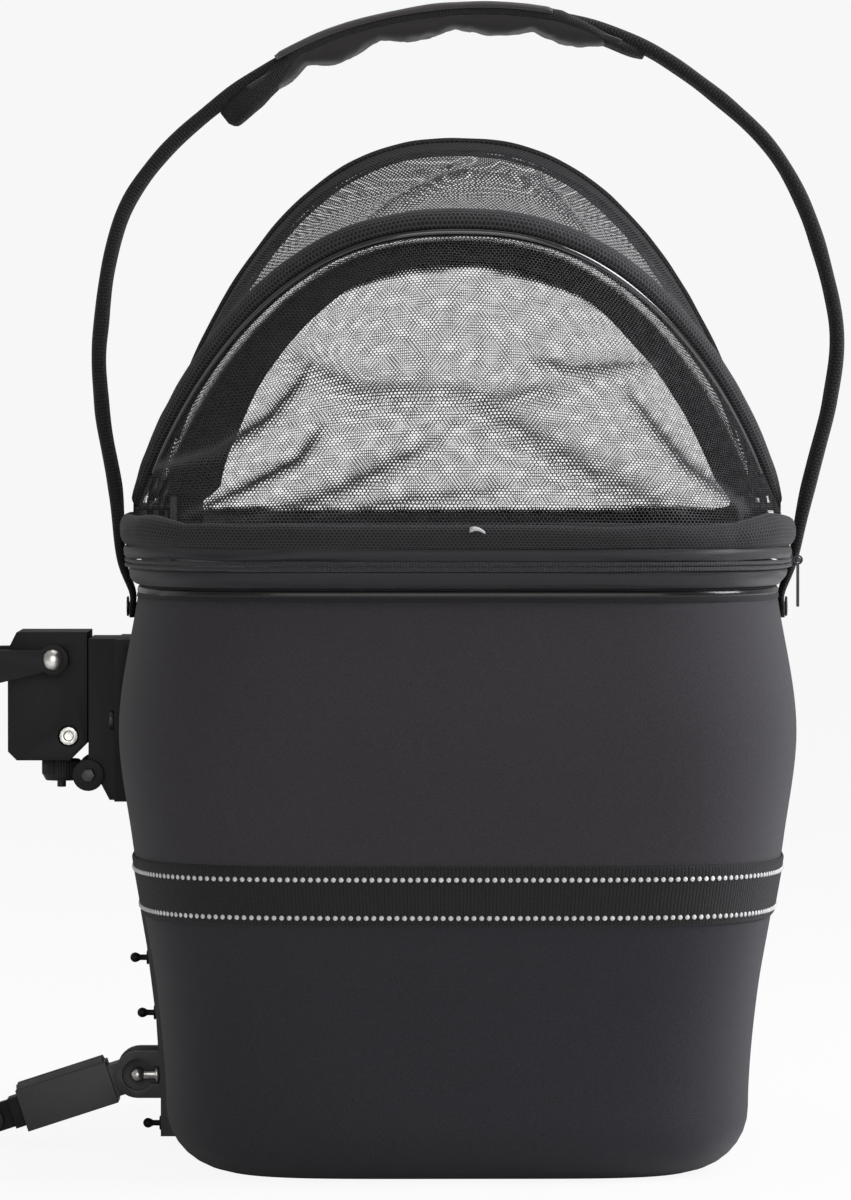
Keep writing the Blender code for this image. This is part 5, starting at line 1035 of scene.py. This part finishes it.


# Roof cloth: four single panels of the net, sewn to the hoops. Each is closer where it is doubled
# along a hoop and at its folds, and painted darker there as shade. A fold is a half width, how far
# it closes and shades the net, and its run, seen from the side for the end panels and from above
# for the others.
NEAR_FOLDS = (
    (0.0030, 0.75, ((-0.1335, 0.3077), (-0.1054, 0.3142), (-0.0820, 0.3290), (-0.0643, 0.3488))),
    (0.0026, 0.80, ((-0.1184, 0.2880), (-0.0900, 0.3010), (-0.0686, 0.3120), (-0.0591, 0.3250))),
    (0.0048, 0.45, ((-0.0924, 0.2860), (-0.0600, 0.2960), (-0.0340, 0.3077), (-0.0124, 0.3185))),
    (0.0036, 0.32, ((-0.0643, 0.2875), (-0.0200, 0.2960), (0.0179, 0.2990))),
    (0.0030, 0.70, ((0.0742, 0.3380), (0.0980, 0.3099), (0.1240, 0.2904))),
    (0.0036, 0.45, ((0.0331, 0.3531), (0.0504, 0.3488), (0.0872, 0.3510))),
    (0.0055, 0.28, ((-0.0037, 0.3402), (0.0179, 0.3358), (0.0439, 0.3423))),
    (0.0075, 0.33, ((0.0071, 0.3358), (0.0612, 0.3055), (0.1045, 0.2860))),
    (0.0070, 0.25, ((-0.0780, 0.3560), (-0.0420, 0.3400), (-0.0037, 0.3402))),
)
ROOF_FOLDS = (
    (0.0032, 0.55, ((0.0060, -0.020), (-0.0100, -0.050), (-0.0290, -0.092))),
    (0.0032, 0.50, ((0.0190, -0.022), (0.0450, -0.060), (0.0560, -0.090))),
    (0.0026, 0.50, ((-0.0260, -0.028), (0.0080, -0.040), (0.0560, -0.034))),
)
FAR_ROOF_FOLDS = (
    (0.0060, 0.45, ((0.0250, 0.012), (-0.0300, 0.050), (-0.0650, 0.085))),
    (0.0060, 0.40, ((0.0300, 0.012), (0.0600, 0.050), (0.0800, 0.080))),
)
FOLD_CORE = 0.34
FOLD_PUSH = 0.9
BAND_BLUR = 0.0012
PULLS, PULL_DEPTH = 10, 0.022


def distance_to_run(point, run):
    """How far a flat point lies from a run of points, and how far along the run it is."""
    best, along = 9.0, 0.0
    for index in range(len(run) - 1):
        start, end = Vector(run[index]), Vector(run[index + 1])
        step = end - start
        share = min(max((point - start).dot(step) / step.length_squared, 0.0), 1.0)
        gap = (point - start - step * share).length
        if gap < best:
            best, along = gap, (index + share) / (len(run) - 1)
    return best, along


def folded(flat, rise, folds, push, closed):
    """A point's push off the panel and its closeness, which closes the net and paints shade on it,
    with what the folds near it add.
    """
    for width, amount, run in folds:
        gap, along = distance_to_run(flat, run)
        fade = math.sin(math.pi * min(max(along * 0.86 + 0.07, 0), 1)) ** 0.6
        strength = math.exp(-(gap / width) ** 2) * fade
        core = math.exp(-(gap / (width * FOLD_CORE)) ** 2) * fade
        push += strength * width * FOLD_PUSH * min(1.0, 3 * rise * (1 - rise) + 0.15)
        closed = max(closed, amount * (0.62 * strength + 0.55 * core))
    return push, closed


def cloth_panel(name, node, low_edge, high_edge, first, bulge, folds, bands,
                columns=170, levels=52, ripple=0.0, close=0.0, close_sides=0.0):
    """A sheet between two edges. Bands close it beside an edge, and folds along lines, and where it
    is closed it is painted darker as shade.
    """
    points, gather_and_shade = [], []
    for share in hoop_shares(first, columns):
        low, high = low_edge(share), high_edge(share)
        span = (high - low).length
        edge = abs(2 * share - 1)
        for level in range(levels + 1):
            rise = level / levels
            point = low.lerp(high, rise)
            outward = Vector((0, point.y, point.z - ROOF_PIVOT[2])).normalized()
            hump = math.sin(math.pi * rise)
            pull = math.sin(math.pi * PULLS * share) * (1 - rise) * rise * 4 * edge ** 1.5
            push = span * bulge * hump
            push += span * pull * PULL_DEPTH
            push += ripple * hump * noise.noise(point * 24 + Vector((len(name), 0, 0)))
            # The net closes, and is painted darker as shade, more towards the panel's sides.
            closed = close + (close_sides - close) * max(0.0, (edge - 0.35) / 0.65) ** 0.8
            for edge_rise, width_middle, width_side, amount in bands:
                width = width_middle + (width_side - width_middle) * edge ** 1.4
                gap = abs(rise - edge_rise) * span
                wave = 1 + 0.10 * noise.noise(point * 45)
                inside = min(max((width * wave - gap) / BAND_BLUR + 0.5, 0.0), 1.0)
                closed = max(closed, amount * inside)
            flat = Vector((point.x, point.y if "roof" in name else point.z))
            push, closed = folded(flat, rise, folds, push, closed)
            gather_and_shade.append(closed)
            points.append(point + outward * push)
    rows = levels + 1
    across = [run_lengths(points[level::rows]) for level in range(rows)]
    up = [run_lengths(points[column * rows:(column + 1) * rows]) for column in range(columns + 1)]
    faces, places = [], []
    for column in range(columns):
        for level in range(levels):
            base = column * rows + level
            faces.append((base, base + rows, base + rows + 1, base + 1))
            places += [(across[row][place] - across[row][-1] / 2, up[place][row])
                       for place, row in ((column, level), (column + 1, level),
                                          (column + 1, level + 1), (column, level + 1))]
    piece = mesh_piece(name, points, faces, roof_net, places, outward=False)
    piece.data.attributes.new("gather_and_shade", "FLOAT", "POINT").data.foreach_set("value", gather_and_shade)
    dressed(piece, "near_roof" if node == "near_end_mesh" else "", node)
    width = max(across[level][-1] for level in (0, levels // 2, levels))
    return piece


def hoop_edge(name, outward=0.0, beside=0.0):
    def place(share):
        centre, out, normal = hoop_frame(name, share)
        return centre + out * outward + normal * beside
    return place


def hem_edge(turns, height):
    """The run along the hem's top, read by the share of its length."""
    run = [rim_point(turn, TAPE_OUT - 0.0004, height) for turn in turns]
    if run[0].x > run[-1].x:
        run.reverse()
    lengths = run_lengths(run)

    def place(share):
        wanted = lengths[-1] * share
        index = max(min(int(np.searchsorted(lengths, wanted)), len(run) - 1), 1)
        left = (wanted - lengths[index - 1]) / (lengths[index] - lengths[index - 1])
        return run[index - 1].lerp(run[index], left)
    return place


roof_net = net("roof_net", MESH_COLOUR, MESH_HOLE, backed=False)
near_end = cloth_panel(
    "near_end_net", "near_end_mesh",
    hem_edge(near_turns, hem_high.z - 0.0022), hoop_edge("near", -0.0026, -0.0040), 0.03, 0.035,
    NEAR_FOLDS, ((1.0, 0.0035, 0.0035, 0.95), (0.0, 0.0030, 0.0080, 0.9)),
    columns=300, levels=100, ripple=0.0016)
fold_with_near_hoop(near_end)
far_end = cloth_panel(
    "far_end_net", "far_end_mesh",
    hem_edge(far_turns, skirt_high.z - 0.0022), hoop_edge("far", 0.0, 0.0028), 0.03, 0.035,
    (), ((1.0, 0.0115, 0.030, 0.9), (0.0, 0.0045, 0.014, 0.9)), ripple=0.0016)
near_cloth = cloth_panel(
    "near_roof_net", "near_roof_mesh",
    hoop_edge("near", 0.0016, 0.0036), hoop_edge("middle", 0.0010, -0.0024), 0.034, -0.050,
    ROOF_FOLDS, ((0.0, 0.0030, 0.0060, 0.95), (1.0, 0.0085, 0.0110, 0.62)),
    ripple=0.0014, close=0.20, close_sides=0.55)
far_cloth = cloth_panel(
    "far_roof_net", "far_roof_mesh",
    hoop_edge("middle", 0.0010, 0.0024), hoop_edge("far", 0.0010, -0.0024), 0.034, -0.050,
    FAR_ROOF_FOLDS, ((0.0, 0.0050, 0.0080, 0.9), (1.0, 0.0060, 0.0120, 0.62)),
    ripple=0.0014, close=0.20, close_sides=0.55)
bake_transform(near_cloth)
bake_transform(far_cloth)
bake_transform(far_end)


# Carry strap: one length of stiff folded webbing, ribbed across, that arches over the roof. It
# is riveted through both walls to the hoop brackets, and is thinner at the rivets.
STRAP_COLOUR = (0.0120, 0.0112, 0.0114)
STRAP_WIDTH = 0.025
STRAP_THICKNESS = 0.0064
RIVETED_THICKNESS = 0.0026
STRAP_ANCHOR_HEIGHT = 0.2445
STRAP_REACH = 0.147207
STRAP_RISE = 0.269
STRAP_SHARES = (
    (-1.0, -0.0183), (-1.0, 0.0), (-1.0, 0.025), (-1.034, 0.081), (-1.05, 0.183),
    (-1.094, 0.337), (-1.097, 0.465), (-1.02, 0.67), (-0.77, 0.83), (-0.392, 0.954),
    (0.04, 1.0), (0.439, 0.971), (0.743, 0.883), (1.02, 0.729), (1.161, 0.498),
    (1.148, 0.348), (1.074, 0.183), (1.036, 0.081), (1.0, 0.025), (1.0, 0.0), (1.0, -0.0183),
)
STRAP_FINE = 1200


def strap_point(place):
    across, rise = (smooth_value([(index, share[axis]) for index, share in
                                  enumerate(STRAP_SHARES)], place) for axis in (0, 1))
    return Vector((across * STRAP_REACH, 0, STRAP_ANCHOR_HEIGHT + rise * STRAP_RISE))


def strap_run(first, last, count):
    """Even places along the strap, each with its point and the way out of the loop."""
    points = [strap_point(first + (last - first) * step / STRAP_FINE)
              for step in range(STRAP_FINE + 1)]
    lengths = run_lengths(points)
    run = []
    for step in range(count + 1):
        index = min(int(np.searchsorted(lengths, lengths[-1] * step / count)), STRAP_FINE)
        before, after = points[max(index - 4, 0)], points[min(index + 4, STRAP_FINE)]
        along = (after - before).normalized()
        run.append((points[index], Vector((-along.z, 0, along.x))))
    return run


def rounded_section(half, low, high, steps, across_power, out_power):
    """A flattened round section from its lowest to its highest distance off the middle."""
    ring = []
    for turn in ring_turns(steps):
        reach = high if math.sin(turn) > 0 else -low
        ring.append((half * signed_power(math.cos(turn), across_power),
                     reach * signed_power(math.sin(turn), out_power)))
    return ring


def laid_on(centre, out, section):
    """A section's points about a place of the strap."""
    return [centre + Vector((0, across, 0)) + out * height for across, height in section]


sections = []
for centre, out in strap_run(0, len(STRAP_SHARES) - 1, 420):
    rise = centre.z - STRAP_ANCHOR_HEIGHT
    full = min(max((rise - 0.0045) / 0.05, 0), 1)
    thick = RIVETED_THICKNESS + (STRAP_THICKNESS - RIVETED_THICKNESS) * full
    thick *= 1 + 0.10 * noise.noise(centre * 55) * full
    half = STRAP_WIDTH / 2 * (1 if rise > 0 else math.sqrt(1 - 0.5 * (rise / 0.005) ** 2))
    slack = 0.0006 * noise.noise(centre * 30 + Vector((7, 0, 0))) * full
    section = rounded_section(half, -thick / 2, thick / 2, 24, 0.45, 0.6)
    sections.append(laid_on(centre, out, [(across, height + slack) for across, height in section]))
strap_webbing = webbing("strap_webbing", STRAP_COLOUR, 0.0015, 0.0009, 1.0, 0.0005)
dressed(strip_piece("strap_loop", sections, strap_webbing, closed=False),
        "handle", "carry_strap")


# Grip sleeve: a knitted binding round the top of the strap, a smooth flap closed over it and
# slack smooth cloth gathered underneath, with a drooping open tip at the rear end.
SLEEVE_KNIT = (0.0160, 0.0150, 0.0160)
SLEEVE_SMOOTH = (0.0215, 0.0190, 0.0200)
SLEEVE_FLAP = (0.0480, 0.0420, 0.0430)
SLEEVE_FIRST, SLEEVE_LAST = 8.08, 11.46
SLEEVE_HALF = 0.0150
SLEEVE_LOW, SLEEVE_HIGH = -0.0036, 0.0040
REAR_TIP, FRONT_TIP = 0.22, 0.80
REAR_SLACK, REAR_SAG, REAR_DROOP = 0.0030, 0.0096, 0.0046
FRONT_SAG, FRONT_DROOP = 0.0030, 0.0050
SLEEVE_WOBBLE = 0.0004
FLAP_STEPS = (25, 118)
FLAP_HALF = 0.0163
FLAP_THICKNESS = 0.0044
SLACK_STEPS = (12, 142)
SLACK_HALF = 0.0146
SLACK_LEAST, SLACK_ENDS, SLACK_BULGE = 0.0028, 0.0022, 0.0074

knit = webbing("sleeve_knit", SLEEVE_KNIT, 0.0011, 0.0011, 1.0, 0.0004)
smooth_cloth = heathered("sleeve_cloth", SLEEVE_SMOOTH, 0.5, 0.8, 0.3, 2400.0)
flap_cloth = heathered("flap_cloth", SLEEVE_FLAP, 0.5, 0.8, 0.3, 2400.0)
run = strap_run(SLEEVE_FIRST, SLEEVE_LAST, 150)
sections = []
for index, (centre, out) in enumerate(run):
    share = index / (len(run) - 1)
    rear = max(0.0, 1 - share / REAR_TIP)
    front = max(0.0, (share - FRONT_TIP) / 0.20)
    low = SLEEVE_LOW - REAR_SLACK * math.sin(math.pi * rear) ** 0.8 - REAR_SAG * rear
    high = SLEEVE_HIGH - REAR_DROOP * min(rear * 2.2, 1) - FRONT_DROOP * min(front * 1.8, 1)
    low -= FRONT_SAG * min(front * 1.8, 1)
    half = SLEEVE_HALF * (1 - 0.45 * rear ** 6) * (1 - 0.30 * front ** 3)
    pinch = (1 - 0.55 * max(0.0, (rear - 0.90) / 0.10) ** 3
             - 0.6 * max(0.0, (front - 0.8) / 0.2) ** 2)
    middle = (low + high) / 2
    reach = (high - low) / 2 * pinch
    section = []
    for across, height in rounded_section(half, -reach, reach, 32, 0.5, 0.7):
        wobble = SLEEVE_WOBBLE * noise.noise(Vector((share * 30, across * 120, 1.0)))
        section.append((across, middle + height + wobble))
    sections.append(laid_on(centre, out, section))
dressed(strip_piece("grip_binding", sections, knit, closed=False),
        "handle", "grip_sleeve")

sections = []
flap_run = run[FLAP_STEPS[0]:FLAP_STEPS[1]]
for index, (centre, out) in enumerate(flap_run):
    share = index / (len(flap_run) - 1)
    thick = FLAP_THICKNESS + 0.0004 * noise.noise(centre * 60)
    crown = thick - 0.0008 * (1 - min(min(share, 1 - share) / 0.02, 1))
    side = [(0.0158, 0.0012), (FLAP_HALF, 0.0024), (FLAP_HALF, crown - 0.0016),
            (0.0154, crown - 0.0004), (0.0125, crown)]
    inside = [(-0.0150, 0.0014), (-0.0148, 0.0036), (0.0, 0.0038), (0.0148, 0.0036),
              (0.0150, 0.0014)]
    other_side = [(-across, height) for across, height in reversed(side)]
    sections.append(laid_on(centre, out, side + [(0.0, crown + 0.0003)] + other_side + inside))
dressed(strip_piece("grip_flap", sections, flap_cloth, closed=False), "handle")

sections = []
slack_run = run[SLACK_STEPS[0]:SLACK_STEPS[1]]
for index, (centre, out) in enumerate(slack_run):
    share = index / (len(slack_run) - 1)
    ends = math.sin(math.pi * share) ** 0.45
    bulges = abs(math.sin(share * 15.5 + 0.6)) ** 1.1 * (0.72 + 0.34 * math.cos(share * 6.0))
    depth = SLACK_LEAST + (SLACK_ENDS + SLACK_BULGE * bulges) * ends
    section = []
    for across, height in rounded_section(SLACK_HALF, -depth, 0.0008, 40, 0.5, 0.7):
        crease = noise.noise(Vector((share * 26, across * 90, height * 150)))
        fine = noise.noise(Vector((share * 70 + across * 260, across * 60, 5.0)))
        push = (0.0010 * crease + 0.0005 * fine) * ends if height < 0 else 0.0
        section.append((across * (1 + 8 * push), height - 0.0022 + push))
    sections.append(laid_on(centre, out, section))
dressed(strip_piece("grip_underside", sections, smooth_cloth, closed=False),
        "handle")


# Seat cushion: a loose pad with a sewn edge on the floor of the tub, crowned in the middle and
# drawn in at its sides, covered in short-pile dark cloth.
CUSHION_COLOUR = (0.045, 0.044, 0.047)
PAD_EDGE = 0.022
PAD_BOTTOM = 0.0002
PAD_SEAM = 0.45
PAD_CROWN = 0.0280
PAD_TUG = 0.0012
PAD_TOP_SHARES = (0.86, 0.72, 0.56, 0.4, 0.24, 0.1)
PAD_DIMPLE = 0.0007
pad_low, pad_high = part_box("seat_cushion")
pad_rise = pad_high.z - pad_low.z
pad_turns = even_turns(120)


def pad_row(inset, height):
    depth, width = pad_high.x - inset, pad_high.y - inset
    row = []
    for turn in pad_turns:
        spot = Vector((math.cos(turn) * 6, math.sin(turn) * 6, height * 60))
        tug = PAD_TUG * noise.noise(spot) - PAD_TUG / 2
        row.append(plan_point(depth, turn, height, width - depth)
                   + outward_turn(turn, depth, width) * tug)
    return row


rows = [[Vector((point.x * share, point.y * share, pad_low.z + PAD_BOTTOM))
         for point in pad_row(PAD_EDGE, 0)] for share in (0.25, 0.5, 0.75, 0.95)]
for inset, share, lift in (
        (0.0165, 0.03, 0), (0.0095, 0.12, 0), (0.0045, 0.24, 0), (0.0022, 0.35, 0),
        (0.0012, 0.42, 0), (-0.0004, PAD_SEAM, -0.0008), (-0.0004, PAD_SEAM, 0.0008),
        (0.0014, PAD_SEAM, 0.0016), (0.0022, 0.56, 0), (0.0050, 0.68, 0), (0.0100, 0.79, 0),
        (0.0180, 0.87, 0), (PAD_CROWN, 0.92, 0)):
    rows.append(pad_row(inset, pad_low.z + pad_rise * share + lift))
top = pad_row(PAD_CROWN, 0)
for step, share in enumerate(PAD_TOP_SHARES):
    height = pad_low.z + pad_rise * (0.945 + 0.045 * (step + 1) / len(PAD_TOP_SHARES))
    rows.append([Vector((x, y, height + PAD_DIMPLE * noise.noise(Vector((x * 26, y * 26, 3.0)))))
                 for x, y in ((point.x * share, point.y * share) for point in top)])
points, faces = closed_shape(rows, Vector((0, 0, pad_low.z + PAD_BOTTOM)),
                             Vector((0, 0, pad_high.z - 0.0006)))
pad_cloth = heathered("cushion_cloth", CUSHION_COLOUR, 0.8, 0.95, 0.5, 1100.0)
pad = dressed(mesh_piece("seat_pad", points, faces, pad_cloth),
              "basket", "seat_cushion")


# Hard parts: glass-filled nylon, zinc-plated steel and blackened steel, each the CAD piece with
# its edges rounded as moulding and turning leave them, and a fine grained, slightly worn skin.
BLACK_NYLON = (0.0085, 0.0086, 0.0094)
STRUT_NYLON = (0.030, 0.030, 0.033)
BOARD_NYLON = (0.020, 0.020, 0.022)
DARK_STEEL = (0.060, 0.060, 0.064)
BRIGHT_STEEL = (0.62, 0.60, 0.57)
FINE_EDGE = 0.0003
HARD_EDGE = 0.0005
SOFT_EDGE = 0.0009
WELD_DISTANCE = 0.00002
FLAT_ANGLE = math.radians(2)
EDGE_ANGLE = math.radians(38)
KNOB_RADIUS = 0.00875
KNOB_RIBS = 44
STRUT_PIVOT = Vector((-0.1444, 0, 0.033))
STRUT_SLOPE = math.radians(18)
STRUT_TOP = 0.00975


def rounded_copy(node, material, body, width=HARD_EDGE):
    """The CAD piece's mesh, cleaned and with rounded edges, in the CAD piece's place."""
    source = bpy.data.objects[node]
    mesh = source.data.copy()
    mesh.transform(source.matrix_world)
    shape = bmesh.new()
    shape.from_mesh(mesh)
    bmesh.ops.remove_doubles(shape, verts=shape.verts, dist=WELD_DISTANCE)
    bmesh.ops.dissolve_limit(shape, angle_limit=FLAT_ANGLE, verts=shape.verts, edges=shape.edges)
    bmesh.ops.recalc_face_normals(shape, faces=shape.faces)
    shape.to_mesh(mesh)
    shape.free()
    mesh.name = node + "_part"
    mesh.materials.clear()
    mesh.materials.append(material)
    for polygon in mesh.polygons:
        polygon.use_smooth = True
        polygon.material_index = 0
    piece = in_scene(node + "_part", mesh)
    bevel = piece.modifiers.new("edges", "BEVEL")
    bevel.width = width
    bevel.segments = 3
    bevel.limit_method = "ANGLE"
    bevel.angle_limit = EDGE_ANGLE
    bevel.harden_normals = True
    return dressed(piece, body, node)


nylon = grained("black_nylon", BLACK_NYLON, 0.46, wear=0.35, grain=1100.0, depth=0.00010,
                shine=0.22)
ribbed_nylon = grained("knob_nylon", BLACK_NYLON, 0.50, wear=0.45, grain=1500.0, depth=0.00014,
                       shine=0.4)
strut_nylon = grained("strut_nylon", STRUT_NYLON, 0.44, wear=0.35, grain=1100.0, depth=0.00010)
board_nylon = grained("floor_board_skin", BOARD_NYLON, 0.6, wear=0.3, grain=700.0, depth=0.00012)
dark_steel = grained("blackened_steel", DARK_STEEL, 0.36, 0.85, wear=0.5, grain=1300.0)
bright_steel = grained("zinc_plated_steel", BRIGHT_STEEL, 0.24, 1.0, wear=0.6, grain=1600.0,
                       depth=0.00005)
HARD_PARTS = (
    (nylon, "black_plastic", SOFT_EDGE, {
        "basket": ("hook_plate", "inner_plate"), "adapter": ("adapter_body",),
        "bar_clamp": ("near_clamp_arm", "far_clamp_arm", "near_clamp_cap", "far_clamp_cap"),
        "strut_inner": ("strut_arm",), "fork": ("support_fork",)}),
    (strut_nylon, "black_plastic", 0.0012, {"basket": ("lower_plate",)}),
    (strut_nylon, "black_plastic", SOFT_EDGE, {"strut": ("strut_sleeve",)}),
    (board_nylon, "board", SOFT_EDGE, {"basket": ("floor_board",)}),
    (nylon, "black_plastic", FINE_EDGE, {
        "basket": ("lower_stud_1", "lower_stud_2", "lower_stud_3")}),
    (ribbed_nylon, "black_plastic", FINE_EDGE, {
        "strut_knob": ("strut_lock_knob",), "knob": ("lock_knob",)}),
    (dark_steel, "dark_steel", FINE_EDGE, {
        "basket": ("rear_hoop_bracket", "front_hoop_bracket", "rear_strap_rivet",
                   "front_strap_rivet", "near_lobe_bolt", "far_lobe_bolt", "hook_bolt_1",
                   "hook_bolt_2", "strut_pivot_pin"),
        "fork": ("fork_pin",), "slider": ("zip_slider",)}),
    (dark_steel, "dark_steel", 0.0002, {"pull": ("zip_pull",)}),
    (bright_steel, "bright_steel", FINE_EDGE, {
        "basket": ("strut_ball_pin",), "adapter": ("stop_bolt",), "ring": ("leash_ring",),
        "bar_clamp": ("near_lower_clamp_bolt", "near_upper_clamp_bolt", "far_lower_clamp_bolt",
                      "far_upper_clamp_bolt", "tilt_bolt")}),
)
for material, slot, width, bodies in HARD_PARTS:
    for body, nodes in bodies.items():
        for node in nodes:
            rounded_copy(node, material, body, width)
tab_webbing = webbing("leash_webbing", STRAP_COLOUR, 0.0015, 0.0009, 1.0, 0.0004)
leash_low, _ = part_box("leash_tab")
leash = rounded_copy("leash_tab", tab_webbing, "basket").data
uv_layer = leash.uv_layers[0] if leash.uv_layers else leash.uv_layers.new(name="UVMap")
uv_layer.name = "UVMap"
for loop in leash.loops:
    spot = leash.vertices[loop.vertex_index].co
    uv_layer.data[loop.index].uv = (spot.z - leash_low.z, spot.y - leash_low.y)


# The locking knob's ribs: thin rods set round its side, which the thumb turns it by.
knob_low, knob_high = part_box("lock_knob")
knob_axis = Vector(((knob_low.x + knob_high.x) / 2, 0, knob_low.z))
rods = []
for turn in ring_turns(KNOB_RIBS):
    middle = knob_axis + Vector((math.cos(turn), math.sin(turn), 0)) * (KNOB_RADIUS - 0.0002)
    rods.append([[middle + Vector((thick * math.cos(side), thick * math.sin(side), height))
                  for side in ring_turns(6)] for height, thick in (
                      (0.0056, 0.0001), (0.0061, 0.00042), (0.0118, 0.00042), (0.0123, 0.0001))])
dressed(mesh_piece("knob_ribs", *bars(rods), ribbed_nylon), "knob")

# Four shallow ribs run along the strut's upper face, as on an extruded tube.
along_strut = Vector((-math.cos(STRUT_SLOPE), 0, -math.sin(STRUT_SLOPE)))
off_strut = Vector((along_strut.z, 0, -along_strut.x))
rails = []
for across in (-0.0080, -0.0040, 0.0040, 0.0080):
    rails.append([[STRUT_PIVOT + along_strut * along + off_strut * (STRUT_TOP + up)
                   + Vector((0, across + side, 0)) for side, up in (
                       (-0.0009, -0.0004), (0.0009, -0.0004), (0.0007, lift), (-0.0007, lift))]
                  for along, lift in ((0.0135, 0.0), (0.0140, 0.0021), (0.0545, 0.0021),
                                      (0.0550, 0.0))])
dressed(mesh_piece("strut_rails", *bars(rails), strut_nylon, smooth=False),
        "strut")
